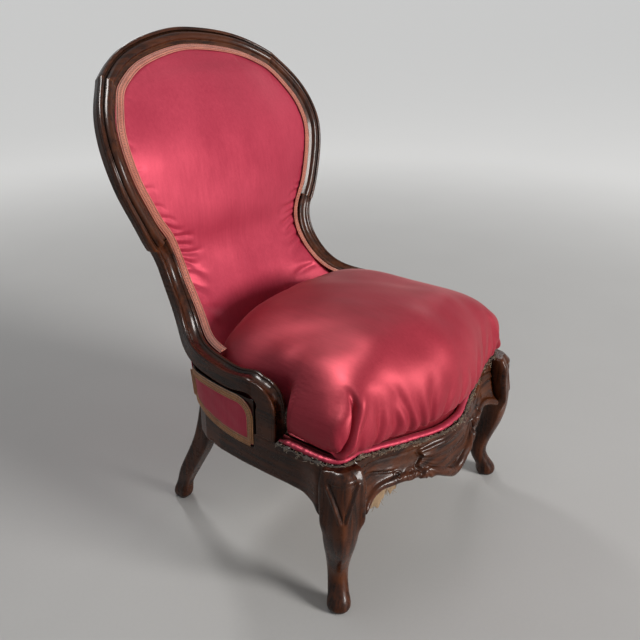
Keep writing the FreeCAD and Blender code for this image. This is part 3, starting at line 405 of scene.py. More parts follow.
class Finish:
    """A material with its shader, and the patterns that feed it."""

    def __init__(self, name):
        self.material = bpy.data.materials.new(name)
        self.material.use_nodes = True
        self.tree = self.material.node_tree
        self.shader = self.tree.nodes["Principled BSDF"]
        self.place = self.node("TexCoord").outputs["Object"]
        split = self.node("SeparateXYZ", sockets={0: self.place})
        self.x, self.y, self.z = (Wire(self.tree, socket) for socket in split.outputs)

    def node(self, kind, settings=(), sockets=()):
        return add_node(self.tree, kind, settings, sockets)

    def noise(self, scale, detail=2.0, rough=0.5):
        """Clouds from 0 to 1, this fine along x, y and z."""
        scale = np.broadcast_to(scale, 3).tolist()
        place = self.node("Mapping", sockets={"Vector": self.place, "Scale": scale}).outputs[0]
        sockets = {"Vector": place, "Scale": 1, "Detail": detail, "Roughness": rough}
        return Wire(self.tree, self.node("TexNoise", sockets=sockets).outputs["Fac"])

    def hollow(self, distance):
        """1 in corners and grooves, 0 in the open; the finishes use it to paint shade there."""
        node = self.node("AmbientOcclusion", {"samples": 6}, {"Distance": distance})
        return 1 - Wire(self.tree, node.outputs["AO"])

    def edge(self, radius):
        """1 on sharp edges, 0 on flat ground."""
        bevel = self.node("Bevel", {"samples": 4}, {"Radius": radius}).outputs[0]
        ground = self.node("NewGeometry").outputs["Normal"]
        dot = self.node("VectorMath", {"operation": "DOT_PRODUCT"}, {0: bevel, 1: ground})
        return 1 - Wire(self.tree, dot.outputs["Value"])

    def mix(self, factor, low, high):
        """Colour from low to high."""
        low, high = (c + (1,) if isinstance(c, tuple) else c for c in (low, high))
        sockets = {"Factor": factor, MIX_LOW: low, MIX_HIGH: high}
        return self.node("Mix", {"data_type": "RGBA"}, sockets).outputs[MIX_RESULT]

    def shade(self, **values):
        """Values or links for the shader's sockets, their spaces written as underscores."""
        sockets = {name.replace("_", " "): value for name, value in values.items()}
        fill_sockets(self.tree, self.shader, sockets)

    def bump(self, height, depth):
        node = self.node("Bump", sockets={"Distance": depth, "Height": height})
        self.shade(Normal=node.outputs[0])


def darker(colour, share):
    return tuple(c * share for c in colour)


def wood_finish(name, grain):
    """Dark stained timber under a worn varnish, its grain fine across and long along, with painted
    shade in its grooves and corners.
    """
    f = Finish(name)
    chair = bpy.context.scene.chair
    fibre = f.noise(grain, 4, 0.6)
    pores = f.noise(tuple(s * 5 for s in grain), 2, 0.7)
    cloud = f.noise(14, 3)
    wear = f.noise(46, 4, 0.65)
    rubbed = (f.edge(0.0026) * 6.0 + wear * 0.8).step(0.75, 1.30)
    base = f.mix(fibre.step(0.30, 0.70), tuple(chair.wood_dark), tuple(chair.wood_light))
    base = f.mix(cloud.step(0.45, 0.75) * 0.6, base, (0.108, 0.031, 0.0088))
    base = f.mix(rubbed * 0.65, base, (0.25, 0.092, 0.032))
    # Painted shade: near black in the grooves and corners that the ambient occlusion finds.
    base = f.mix(f.hollow(0.010).step(0.12, 0.60) * 0.9, base, (0.0060, 0.0030, 0.0020))
    rough = (wear * 0.20 + fibre * 0.08 + rubbed * 0.10 + 0.14).lowest(0.7)
    f.shade(Base_Color=base, Roughness=rough)
    f.shade(Coat_Weight=0.16, Coat_Roughness=0.10, Specular_IOR_Level=0.16)
    f.bump(fibre * 0.5 + pores * 0.3 + wear * 0.8, 0.0003)
    return f.material


def bare_wood_finish(name):
    f = Finish(name)
    fibre = f.noise((10, 90, 140), 4, 0.6)
    stain = f.noise(18, 3)
    base = f.mix(fibre, (0.30, 0.17, 0.085), (0.47, 0.31, 0.17))
    base = f.mix(stain.step(0.5, 0.8) * 0.6, base, (0.17, 0.09, 0.045))
    f.shade(Base_Color=base, Roughness=fibre * 0.2 + 0.6)
    f.bump(fibre, 0.0004)
    return f.material


def satin_finish(name, fine, broad, deep, bright):
    """Satin with fine streaks along its warp, a soft sheen, and painted shade in its hollows."""
    f = Finish(name)
    deep, bright = (tuple(getattr(bpy.context.scene.chair, shade)) for shade in (deep, bright))
    streak = f.noise(fine, 2, 0.6)
    band = f.noise(broad, 3, 0.6)
    cloud = f.noise(9, 2)
    crease = f.noise((60, 60, 26), 3, 0.55)
    tone = (streak * 0.35 + band * 0.25 + cloud * 0.40).step(0.25, 0.80)
    base = f.mix(tone, deep, bright)
    # Painted shade: the deep colour, darker still, in hollows and creases that the ambient occlusion
    # finds.
    base = f.mix(f.hollow(0.02).step(0.35, 0.95) * 0.6, base, darker(deep, 0.35))
    f.shade(Base_Color=base, Roughness=streak * 0.10 + band * 0.06 + 0.38, Metallic=0.30)
    f.shade(Sheen_Weight=0.20, Sheen_Roughness=0.35, Sheen_Tint=(1.0, 0.45, 0.42, 1))
    f.shade(Specular_IOR_Level=0.35, Specular_Tint=(1.0, 0.62, 0.58, 1))
    f.shade(Coat_Weight=0.08, Coat_Roughness=0.48, Coat_Tint=(1.0, 0.70, 0.64, 1))
    f.bump(streak * 0.35 + band * 0.15 + crease * 0.7, 0.00030)
    return f.material


def yarn_finish(name, low, high):
    """Spun yarn, with painted shade in the hollows between its cords."""
    f = Finish(name)
    yarn = f.noise(900, 2, 0.6)
    age = f.noise(38, 3, 0.6)
    base = f.mix((yarn * 0.6 + age * 0.5).step(0.3, 0.8), low, high)
    # Painted shade: the low colour, much darker, in the hollows that the ambient occlusion finds.
    base = f.mix(f.hollow(0.004).step(0.12, 0.60) * 0.85, base, darker(low, 0.20))
    f.shade(Base_Color=base, Roughness=yarn * 0.2 + 0.55)
    f.shade(Sheen_Weight=0.3, Sheen_Roughness=0.5)
    f.bump(yarn, 0.0004)
    return f.material


def weave_finish(name, low, high, pitch=0.0016):
    """Plain coarse weave seen from above or below."""
    f = Finish(name)
    turns = math.pi / pitch
    across = ((f.x + f.z * 0.6) * turns).sin().abs()
    along = ((f.y + f.z * 0.8) * turns).sin().abs()
    thread = across.highest(along)
    slub = f.noise((420, 420, 60), 3, 0.6)
    stain = f.noise(26, 3)
    base = f.mix((thread * 0.6 + slub * 0.5).step(0.3, 1.0), low, high)
    base = f.mix(stain.step(0.45, 0.8) * 0.5, base, darker(low, 0.45))
    f.shade(Base_Color=base, Roughness=slub * 0.1 + 0.82, Sheen_Weight=0.15)
    f.bump(thread + slub * 0.6, 0.0007)
    return f.material


def residue_finish(name):
    """Old glue, frayed cloth and rust left along the rails."""
    f = Finish(name)
    fluff = f.noise(620, 4, 0.7)
    patch = f.noise(120, 3, 0.6)
    base = f.mix(patch.step(0.35, 0.65), (0.022, 0.014, 0.009), (0.085, 0.056, 0.034))
    base = f.mix(fluff.step(0.5, 0.75) * 0.6, base, (0.26, 0.20, 0.13))
    # Painted shade: near black in the hollows of the crust, where the ambient occlusion finds them.
    base = f.mix(f.hollow(0.004).step(0.3, 0.9), base, (0.020, 0.013, 0.010))
    f.shade(Base_Color=base, Roughness=fluff * 0.2 + 0.7)
    f.bump(fluff + patch * 0.5, 0.0012)
    return f.material


def metal_finish(name, clean, rusty, metallic):
    f = Finish(name)
    rust = f.noise(190, 4, 0.6)
    base = f.mix(rust.step(0.42, 0.7), clean, rusty)
    f.shade(Base_Color=base, Roughness=rust * 0.4 + 0.3, Metallic=metallic)
    f.bump(rust, 0.0003)
    return f.material


def seen_rays(tree):
    """1 for the rays that show the background, to the camera or in a reflection."""
    rays = add_node(tree, "LightPath").outputs
    kinds = ("Is Camera Ray", "Is Glossy Ray", "Is Transmission Ray")
    camera, glossy, through = (Wire(tree, rays[kind]) for kind in kinds)
    return camera.highest(glossy).highest(through)


def floor_finish(name):
    """Plain pale floor that runs into the background far away."""
    f = Finish(name)
    cloud = f.noise(3, 3)
    speck = f.noise(160, 2)
    base = f.mix(cloud * 0.6 + speck * 0.3, (0.52, 0.515, 0.505), (0.60, 0.595, 0.585))
    far = (f.x * f.x + f.y * f.y).step(0.2, 9.0)
    glow = f.mix(far * seen_rays(f.tree), (0.0, 0.0, 0.0), (0.42, 0.42, 0.415))
    f.shade(Base_Color=base, Roughness=speck * 0.1 + 0.5)
    f.shade(Emission_Color=glow, Emission_Strength=1.0)
    return f.material


WARP_UP = ((1500, 1500, 40), (220, 220, 7))
WARP_BACK = ((1500, 40, 1500), (220, 7, 220))
FINISHES = {
    "varnished_wood_x": (wood_finish, (9, 120, 120)),
    "varnished_wood_y": (wood_finish, (120, 9, 120)),
    "varnished_wood_z": (wood_finish, (120, 120, 9)),
    "bare_wood": (bare_wood_finish,),
    "satin_red_z": (satin_finish, *WARP_UP, "satin_deep", "satin_bright"),
    # The seat's satin is a darker copy of the back's: painted shade that holds the seat down under the
    # key lamp.
    "satin_seat_y": (satin_finish, *WARP_BACK, "seat_deep", "seat_bright"),
    # Darker copy of the satin for the border band: painted shade under the seat's edge.
    "satin_dark_z": (satin_finish, *WARP_UP, "band_deep", "band_bright"),
    "salmon_braid": (yarn_finish, (0.46, 0.110, 0.068), (0.76, 0.27, 0.17)),
    "gold_braid": (yarn_finish, (0.42, 0.150, 0.050), (0.74, 0.35, 0.13)),
    "jute": (yarn_finish, (0.12, 0.075, 0.042), (0.42, 0.31, 0.20)),
    "hessian": (weave_finish, (0.16, 0.095, 0.046), (0.34, 0.22, 0.115)),
    "webbing": (weave_finish, (0.25, 0.18, 0.10), (0.45, 0.34, 0.21), 0.0022),
    "residue": (residue_finish,),
    "spring_steel": (metal_finish, (0.20, 0.19, 0.18), (0.12, 0.06, 0.035), 1.0),
    "iron": (metal_finish, (0.11, 0.105, 0.10), (0.13, 0.06, 0.03), 0.8),
    "floor": (floor_finish,),
}
MATERIALS = {}


def material(name):
    """The named material, made once."""
    if name not in MATERIALS:
        maker, *values = FINISHES[name]
        MATERIALS[name] = maker(name, *values)
    return MATERIALS[name]


# Back padding. Rows below the waist: share of the arm height, of the frame's half width,
# of the foot run at the side and in the middle, and lean.
TUB_ROWS = [
    (1.134, 0.660, 0.932, 0.953, 25),
    (1.060, 0.692, 0.876, 0.937, 18),
    (0.980, 0.715, 0.822, 0.922, 12),
    (0.900, 0.680, 0.785, 0.909, 9),
    (0.850, 0.684, 0.768, 0.901, 8),
    (0.775, 0.686, 0.757, 0.892, 7),
]
# Share of the crown at each of the frame's rows, from the top down.
CROWN_ROWS = [0.03, 0.06, 0.14, 0.32, 0.55, 0.78, 0.95, 1]
CROWN_ROWS += [1, 1, 1, 0.95, 0.85, 0.7, 0.5, 0.3, 0.15]
BACK_CROWN = 0.016


def edge_chords(edges, crown_rows, crown):
    """Rows of half width, y, z, lean and crown, from the top down."""
    leans = [row[3] for row in LINE_ROWS]
    top = edges[0] + (edges[1] - edges[0]) * 0.36
    rows = [(0.6 * edges[1][0], top[1], top[2], leans[0], crown_rows[0] * crown)]
    for edge, lean, share in zip(edges[1:], leans[1:], crown_rows[1:]):
        rows.append((edge[0], edge[1], edge[2], lean, share * crown))
    return rows


def tub_chords(table):
    """The same for rows below the waist, hollow round the sitter."""
    rows = []
    for z, x, y_side, y_middle, lean in table:
        y = FRONT_LINE + y_side * FOOT_RUN
        rows.append((x * FRAME_HALF, y, z * ARM_TOP, lean, (y_side - y_middle) * FOOT_RUN))
    return rows


def chord_grid(chords, rows, columns, depth, roll=0.0):
    """Grid over the chords, this deep behind their face; also each point's way out."""
    fine = spline(chords, rows)
    u = np.linspace(-1, 1, columns)[None, :]
    out = way_out(fine[:, 3])[:, None]
    bulge = fine[:, 4:5] * (1 - u**2) - roll * np.abs(u) ** 14
    base = np.stack([fine[:, :1] * u, fine[:, 1:2] + 0 * u, fine[:, 2:3] + 0 * u], -1)
    return base + out * (bulge - depth)[..., None], np.broadcast_to(out, base.shape)


# Folds in the back's satin: ends in x and z (mirrored), half width, depth.
BACK_FOLDS = [
    (0.172, 0.528, 0.112, 0.512, 0.0036, 0.0026),
    (0.168, 0.512, 0.120, 0.494, 0.0030, 0.0024),
    (0.166, 0.495, 0.096, 0.484, 0.0040, 0.0032),
    (0.164, 0.478, 0.112, 0.462, 0.0034, 0.0026),
    (0.163, 0.462, 0.100, 0.444, 0.0040, 0.0026),
    (0.164, 0.444, 0.108, 0.418, 0.0042, 0.0022),
    (0.184, 0.546, 0.136, 0.534, 0.0032, 0.0018),
    (0.194, 0.562, 0.150, 0.552, 0.0030, 0.0014),
    (0.205, 0.585, 0.168, 0.577, 0.0032, 0.0011),
    (0.216, 0.618, 0.184, 0.612, 0.0034, 0.0009),
    (0.224, 0.655, 0.198, 0.650, 0.0034, 0.0008),
    (0.229, 0.695, 0.204, 0.690, 0.0034, 0.0007),
    (0.156, 0.400, 0.090, 0.380, 0.0060, 0.0024),
    (0.120, 0.812, 0.108, 0.786, 0.0030, 0.0005),
    (0.190, 0.766, 0.168, 0.748, 0.0032, 0.0007),
]


def fold_depth(a, b, folds, seed):
    """Depth of the folds at places (a, b), each sharpest at its first end."""
    total = np.zeros_like(a)
    rng = np.random.default_rng(seed)
    for a0, b0, a1, b1, half, depth in folds:
        da, db = a1 - a0, b1 - b0
        length = math.hypot(da, db)
        t = ((a - a0) * da + (b - b0) * db) / length**2
        off = ((a - a0) * db - (b - b0) * da) / length
        sway = 0.003 * np.sin(t * 4 + rng.uniform(0, 6))
        wide = half * (0.7 + 0.9 * np.clip(t, 0, 1))
        keep = ramp(-0.12, 0.08, t) * (1 - ramp(0.45, 1.0, t))
        valley = bell(off + sway, 0, wide)
        ridge = bell(off + sway, 1.9 * wide, 1.3 * wide)
        total += depth * keep * (valley - 0.55 * ridge)
    return total


def back_padding():
    """Satin over the stuffing of the back, with its folds at the waist."""
    rows, columns = 260, 181
    edges = at_rows(-0.0180, 0)[:17]
    chords = edge_chords(edges, CROWN_ROWS, BACK_CROWN) + tub_chords(TUB_ROWS)
    rear_chords = [chord[:4] + (chord[4] if chord[4] < 0 else 0.0008,) for chord in chords]
    front, out = chord_grid(chords, rows, columns, 0.0020, 0.0012)
    back, _ = chord_grid(rear_chords, rows, columns, 0.0150)
    x, z = front[..., 0], front[..., 2]
    mirror = [
        (-a0, b0 + 0.008, -a1, b1 + 0.004, half * 1.1, depth)
        for a0, b0, a1, b1, half, depth in BACK_FOLDS
    ]
    depth = fold_depth(x, z, BACK_FOLDS, 3) + fold_depth(x, z, mirror, 5)
    inside = 1 - ramp(0.93, 1.0, np.abs(np.linspace(-1, 1, columns)))
    soft = ripple(x / 0.15, z / 0.26, 11) * 0.0006 + ripple(x / 0.05, z / 0.12, 12) * 0.00012
    front = front + out * ((soft - depth) * inside)[..., None]
    pad = slab("back_padding", front, back, "satin_red_z")
    finish_piece(pad, ("back_cover", "back_stuffing"))


# Seat. Outline from above, and its levels: share of rise, width, length and wings.
SEAT_HALF = 0.273
SEAT_REACH = 0.060  # front edge before the front feet
SEAT_BACK = 0.350  # rear edge behind the front feet
SEAT_LOW = 0.288
SEAT_RISE = 0.166
SEAT_GAP = 0.005  # play beside the arms
SEAT_WIDTH_SCALE = 0.26  # brings the levels' widths to the size of their heights
MAX_SWELL = 0.004  # most that the simulated cloth may move
SEAT_LEVELS = [
    (0.00, 0.950, 0.950, 1.00),
    (0.06, 0.982, 0.982, 1.00),
    (0.20, 1.000, 1.000, 1.00),
    (0.36, 0.992, 0.990, 0.92),
    (0.52, 0.945, 0.960, 0.76),
    (0.67, 0.850, 0.900, 0.56),
    (0.80, 0.715, 0.795, 0.36),
    (0.90, 0.540, 0.640, 0.22),
    (0.965, 0.320, 0.420, 0.14),
    (0.992, 0.160, 0.220, 0.10),
    (1.00, 0.030, 0.040, 0.08),
]


def arc(a, m, b, count):
    """Points from a towards b on the circle through m, without b."""
    a, m, b = map(np.asarray, (a, m, b))
    d = 2 * (a[0] * (m[1] - b[1]) + m[0] * (b[1] - a[1]) + b[0] * (a[1] - m[1]))
    qa, qm, qb = (float(p @ p) for p in (a, m, b))
    cx = (qa * (m[1] - b[1]) + qm * (b[1] - a[1]) + qb * (a[1] - m[1])) / d
    cy = (qa * (b[0] - m[0]) + qm * (a[0] - b[0]) + qb * (m[0] - a[0])) / d
    c = np.array([cx, cy])
    start, end = (math.atan2(*(p - c)[::-1]) for p in (a, b))
    way = 1 if d > 0 else -1
    sweep = (end - start) * way % (2 * math.pi) * way
    turns = start + sweep * np.linspace(0, 1, count, endpoint=False)
    return c + np.linalg.norm(a - c) * np.stack([np.cos(turns), np.sin(turns)], 1)


def seat_outline(width, length, wing):
    """Level outline of the seat in the plane, right of front first."""
    arm_face = 0.976 * FRAME_HALF - MOULDING_HALF
    narrow = arm_face - SEAT_GAP
    corner = (SEAT_HALF - narrow) * wing
    wide = narrow + corner
    side_end = ARM_SET - SEAT_GAP
    middle = (SEAT_BACK - SEAT_REACH) / 2
    shares = ((0, -1), (0.55, -0.42), (0.72, -0.27), (0.86, -0.16))
    front = [(x * wide, y * SEAT_REACH) for x, y in shares]
    hip, side = (0.96 * wide, 0.03 * SEAT_REACH), (wide, 0.5 * SEAT_REACH)
    wing_end = (wide, side_end - corner / 2)
    wing_turn = (wide - corner * 0.15, side_end - corner * 0.15)
    notch = (wide - corner / 2, side_end)
    flank = (narrow, side_end + corner / 4)
    rear_flank = (narrow, 0.62 * SEAT_BACK)
    rear_turn, rear_bow = (0.90 * narrow, 0.885 * SEAT_BACK), (0.55 * narrow, 0.98 * SEAT_BACK)

    def flip(p):
        return (-p[0], p[1])

    runs = [
        (flip(front[1]), front[0], front[1], 84),
        (front[1], front[2], front[3], 30),
        (front[3], hip, side, 26),
        (side, None, wing_end, 26),
        (wing_end, wing_turn, notch, 12),
        (notch, None, flank, 8),
        (flank, None, rear_flank, 30),
        (rear_flank, rear_turn, rear_bow, 34),
        (rear_bow, (0, SEAT_BACK), flip(rear_bow), 50),
        (flip(rear_bow), flip(rear_turn), flip(rear_flank), 34),
        (flip(rear_flank), None, flip(flank), 30),
        (flip(flank), None, flip(notch), 8),
        (flip(notch), flip(wing_turn), flip(wing_end), 12),
        (flip(wing_end), None, flip(side), 26),
        (flip(side), flip(hip), flip(front[3]), 26),
        (flip(front[3]), flip(front[2]), flip(front[1]), 30),
    ]
    points = []
    for start, through, end, count in runs:
        if through is None:
            points.append(np.linspace(start, end, count, endpoint=False))
        else:
            points.append(arc(start, through, end, count))
    flat = np.concatenate(points)
    flat[:, 0] *= width
    flat[:, 1] = FRONT_LINE + middle + (flat[:, 1] - middle) * length
    return flat


# Gathers above the seat's front edge: place in x, share of the height reached, depth.
SEAT_GATHERS = [
    (-0.236, 0.20, 0.0016),
    (-0.205, 0.34, 0.0030),
    (-0.176, 0.44, 0.0042),
    (-0.150, 0.36, 0.0030),
    (-0.124, 0.52, 0.0046),
    (-0.094, 0.40, 0.0034),
    (-0.062, 0.46, 0.0036),
    (-0.030, 0.30, 0.0026),
    (0.004, 0.36, 0.0026),
    (0.046, 0.28, 0.0024),
    (0.090, 0.40, 0.0034),
    (0.128, 0.46, 0.0040),
    (0.162, 0.34, 0.0032),
    (0.196, 0.38, 0.0034),
    (0.232, 0.24, 0.0018),
]


def eased_loop(flat, reach):
    """A closed outline with its turns eased over this distance, kept to its size."""
    if reach < 0.001:
        return flat
    edge = np.vstack([flat, flat[:1]])
    s = lengths(edge)
    even = np.linspace(0, s[-1], 600, endpoint=False)
    loop = np.column_stack([np.interp(even, s, edge[:, k]) for k in (0, 1)])
    waves = np.arange(301) / s[-1]
    damp = np.exp(-((waves * reach * 2) ** 2))[:, None]
    eased = np.fft.irfft(np.fft.rfft(loop, axis=0) * damp, n=600, axis=0)
    low, high = flat.min(axis=0), flat.max(axis=0)
    soft_low, soft_high = eased.min(axis=0), eased.max(axis=0)
    eased = low + (eased - soft_low) * (high - low) / (soft_high - soft_low)
    eased = np.vstack([eased, eased[:1]])
    even = np.append(even, s[-1])
    return np.column_stack([np.interp(s[:-1], even, eased[:, k]) for k in (0, 1)])


def seat_rings():
    """Level outlines of the seat from its lower edge to its crown."""
    share, width, length, wing = np.array(SEAT_LEVELS).T
    path = np.stack([width * SEAT_WIDTH_SCALE, share * SEAT_RISE, length, wing], 1)
    rings = []
    for width, height, length, wing in spline(path, 96):
        flat = seat_outline(width / SEAT_WIDTH_SCALE, length, max(wing, 0.05))
        flat = eased_loop(flat, 0.055 * ramp(0.30, 0.62, height / SEAT_RISE))
        rings.append(np.column_stack([flat, np.full(len(flat), SEAT_LOW + height)]))
    return np.array(rings)


def seat_shape(points, normals):
    """How far each point of the seat moves along its normal."""
    x, y, z = points.T
    height = (z - SEAT_LOW) / SEAT_RISE
    y_set = y - FRONT_LINE
    facing = ramp(0.15, 0.7, -normals[:, 1]) * (1 - ramp(0.0, 0.05, y_set))
    move = np.zeros(len(points))
    for place, reach, depth in SEAT_GATHERS:
        lean = place * (1 + 0.10 * height) + 0.010 * np.sin(height * 5 + place * 40)
        half = 0.0045 + 0.012 * np.clip(height, 0, 1)
        valley = bell(x, lean, half)
        ridge = bell(np.abs(x - lean), 2.0 * half, 1.2 * half)
        fade = (1 - ramp(reach * 0.35, reach + 0.22, height)) * ramp(-0.05, 0.04, height)
        move -= depth * facing * fade * (valley - 0.45 * ridge)
    for side in (-1, 1):
        # Pleat from the lower corner up and inward across the front.
        foot_x, head_x = 0.257, 0.212
        t = np.clip(height / 0.52, -0.1, 1.3)
        line = foot_x + (head_x - foot_x) * t - 0.004 * np.sin(t * 3.1)
        off = x * side - line
        front = ramp(0.05, 0.35, -normals[:, 1]) * (1 - ramp(0.02, 0.07, y_set))
        fade = (1 - ramp(0.46, 0.66, height)) * ramp(-0.06, 0.02, height)
        width = 0.0026 + 0.0014 * t
        step = ramp(-width, width, off)
        lip = bell(off, -2.2 * width, 2.4 * width)
        groove = bell(off, width, width)
        sunk = 0.0034 * step * (1 - ramp(0, 0.05, off))
        move += front * fade * (0.0046 * lip - 0.0100 * groove - sunk)
        # The side drawn in towards the end of the arm.
        flank = ramp(0.35, 0.7, normals[:, 0] * side) * (1 - ramp(0.55, 0.85, height))
        move -= 0.004 * flank * ramp(0.045, 0.110, y_set) * (1 - ramp(0.120, 0.180, y_set))
        if side < 0:
            # The left flank stands straighter than the right.
            left = ramp(0.195, 0.255, -x) * ramp(-0.012, 0.030, y_set)
            left = left * (1 - ramp(0.105, 0.165, y_set))
            fade = (1 - 0.35 * ramp(0.36, 0.64, height)) * (1 - ramp(0.75, 0.97, height))
            move -= left * 0.0110 * fade
            # Over the end of the arm the padding fills out again.
            over = bell(y_set, 0.155, 0.040) * bell(height, 0.62, 0.16)
            move += 0.0070 * over * ramp(0.12, 0.20, -x)
    top = ramp(0.35, 0.9, height)
    move += ripple(x / 0.16, y / 0.20, 21) * 0.0020 * top
    move += ripple(x / 0.05, y / 0.12, 22) * 0.0005
    return move


def simulate_seat(obj):
    """Lets the seat's cloth swell against its held lower edge."""
    points = mesh_points(obj)
    group = obj.vertex_groups.new(name="held")
    held = np.nonzero(points[:, 2] < SEAT_LOW + 0.006)[0]
    group.add(held.tolist(), 1.0, "REPLACE")
    cloth = obj.modifiers.new("cloth", "CLOTH")
    cloth.settings.vertex_group_mass = "held"
    cloth.settings.use_pressure = True
    cloth.settings.uniform_pressure_force = 4.0
    cloth.settings.effector_weights.gravity = 0
    cloth.settings.tension_stiffness = 12
    cloth.settings.compression_stiffness = 6
    cloth.settings.bending_stiffness = 3.0
    cloth.settings.shrink_min = 0.01
    cloth.settings.quality = 5
    for step in range(1, 21):
        bpy.context.scene.frame_set(step)
    swollen = evaluated(obj)
    shift = vectors(swollen.vertices, "co") - points
    bpy.data.meshes.remove(swollen)
    obj.modifiers.clear()
    bpy.context.scene.frame_set(1)
    far = np.linalg.norm(shift, axis=1, keepdims=True)
    shift *= np.minimum(1, MAX_SWELL / np.maximum(far, 1e-9))
    ends = np.empty(len(obj.data.edges) * 2, np.int32)
    obj.data.edges.foreach_get("vertices", ends)
    ends = ends.reshape(-1, 2)
    near = np.bincount(ends.ravel(), minlength=len(points))[:, None]
    for _ in range(60):
        total = np.zeros_like(shift)
        np.add.at(total, ends[:, 0], shift[ends[:, 1]])
        np.add.at(total, ends[:, 1], shift[ends[:, 0]])
        shift = (shift + total / near) / 2
    set_points(obj, points + shift)


def seat_cushion():
    """The sprung seat, from its levels to its gathers and pleats."""
    rings = seat_rings()
    inner = rings[0].copy()
    middle = inner.mean(axis=0)
    inner[:, :2] = middle[:2] + (inner[:, :2] - middle[:2]) * 0.90
    seat = join_skins("seat_cushion", [np.concatenate([inner[None], rings])])
    even_mesh(seat, 0.0050)
    height = (mesh_points(seat)[:, 2] - SEAT_LOW) / SEAT_RISE
    smooth_where(seat, 0.1 + 0.9 * ramp(0.45, 0.80, height), 40)
    simulate_seat(seat)
    finer = seat.modifiers.new("finer", "SUBSURF")
    finer.levels = 2
    bake(seat)
    points, normals = mesh_points(seat), mesh_normals(seat)
    set_points(seat, points + normals * seat_shape(points, normals)[:, None])
    smooth_where(seat, np.full(len(points), 0.6), 3)
    seat.data.materials.append(material("satin_seat_y"))
    finish_piece(seat, ("seat_cover", "seat_stuffing"))


# Band and roll on the rails' upper edge. Rows along the front rail: share of the feet's
# spacing, of its bow and of its dip; then round the corner: share of the feet's spacing
# and run.
RAIL_ROWS = [
    (0.00, 0.92, 1.00),
    (0.12, 0.88, 1.00),
    (0.24, 0.72, 1.00),
    (0.36, 0.55, 0.90),
    (0.48, 0.40, 0.78),
    (0.60, 0.23, 0.62),
    (0.72, 0.07, 0.48),
]
CORNER_ROWS = [
    (0.850, 0.014),
    (0.945, 0.020),
    (0.988, 0.045),
    (1.006, 0.090),
    (1.010, 0.150),
    (1.010, 0.210),
    (1.010, 0.285),
]
BORDER_INSET = 0.012  # the border's line behind the front rail's face


def border_path(count, inset=BORDER_INSET):
    """The border's line from the left arm to the right, and the way inward."""
    front = [
        (x * FOOT_SPACING, FRONT_LINE - bow * FRONT_BOW + BORDER_INSET, RAIL_TOP - dip * FRONT_DIP)
        for x, bow, dip in RAIL_ROWS
    ]
    corner = [(x * FOOT_SPACING, FRONT_LINE + y * FOOT_RUN, RAIL_TOP) for x, y in CORNER_ROWS]
    path = spline(both_sides(np.array(front + corner)), count)
    along = headings(path)
    inward = unit(np.stack([-along[:, 1], along[:, 0], 0 * along[:, 0]], 1))
    return path + inward * (inset - BORDER_INSET), inward


def border_roll():
    """Padded roll under the seat's edge."""
    path, inward = border_path(900)
    s = np.arange(len(path)) / len(path)
    centre = path + np.array([0, 0, 0.0050]) - inward * 0.0005
    size = 0.0068 + 0.0004 * ripple(s * 50, s * 0, 31)
    ends = ramp(0, 0.03, np.minimum(s, 1 - s))
    size = size * (0.45 + 0.55 * ends)
    centre[:, 2] -= 0.003 * (1 - ends)
    rings = tube_rings(centre, inward, size, 14, 0.74)
    roll = join_skins("border_roll", [rings], "satin_red_z")
    finish_piece(roll, ("seat_border_roll",))


def border_band():
    """Band behind the roll, gathered a little; its darker satin is painted shade under the seat's edge.
    """
    path, inward = border_path(500, 0.0205)
    s = np.arange(len(path)) / len(path)
    low, high = path[:, 2] + HAIR, SEAT_LOW - HAIR
    rows = []
    for h in np.linspace(0, 1, 9):
        row = np.column_stack([path[:, :2], low + (high - low) * h])
        belly = 0.0012 * math.sin(h * math.pi) + 0.0005 * ripple(s * 40, s * 0 + h, 33)
        rows.append(row - inward * belly[:, None])
    front = np.stack(rows, 1)
    # The band's darker satin is painted shade under the seat's edge.
    band = slab("border_band", front, front + inward[:, None] * 0.002, "satin_dark_z")
    finish_piece(band, ("seat_border_band",))


# Braid


BRAID_THICK = 0.0018
BRAID_BACK = -0.0002
# The ground strip's outline: share of its half width and of the braid's thickness.
BRAID_STRIP = [(-0.94, BRAID_BACK), (-0.94, 0.45), (0, 0.62)]
BRAID_STRIP += [(0.94, 0.45), (0.94, BRAID_BACK), (0, BRAID_BACK)]


def braid_parts(path, across, out, width, pitch):
    """Rings of a woven braid: a ground strip, two crossing cords and two edge cords."""
    wave = lengths(path) / pitch * 2 * math.pi
    half = width / 2
    strip = [
        path + across * (a * half * 0.92) + out * (o * BRAID_THICK * 0.8)
        for a, o in BRAID_STRIP
    ]
    parts = [np.stack(strip, axis=1)]
    for phase in (0, math.pi):
        swing = np.sin(wave + phase) * half * 0.62
        rise = BRAID_THICK * (0.62 + 0.24 * np.cos(2 * wave + phase))
        line = path + across * swing[:, None] + out * rise[:, None]
        parts.append(tube_rings(line, across, width * 0.070))
    nibble = np.sin(wave * 2)
    for side in (-1, 1):
        shift = side * half * (0.88 + 0.06 * nibble)
        line = path + across * shift[:, None] + out * (BRAID_THICK * 0.45)
        parts.append(tube_rings(line, across, width * (0.062 + 0.012 * nibble)))
    return parts


def back_braid(settings):
    """Braid along the frame's inner edge, from one arm over the crown to the other."""
    line = frame_line(60)
    shown = line[0][:, 1] > 0.014  # the arms hide the rest
    point, face, across = (both_sides(values[shown]) for values in line)
    face[:, 0] = 0
    middle = point - across * (MOULDING_HALF + 0.0018 + 0.0070) + face * HAIR
    tilt = math.atan2(0.0039, 0.014)
    out = unit(face * math.cos(tilt) + across * math.sin(tilt))
    side = unit(across * math.cos(tilt) - face * math.sin(tilt))
    parts = braid_parts(middle, side, out, 0.0138, settings.braid_pitch)
    braid = join_skins("back_braid", parts, "salmon_braid")
    finish_piece(braid, ("inner_back_gimp",))


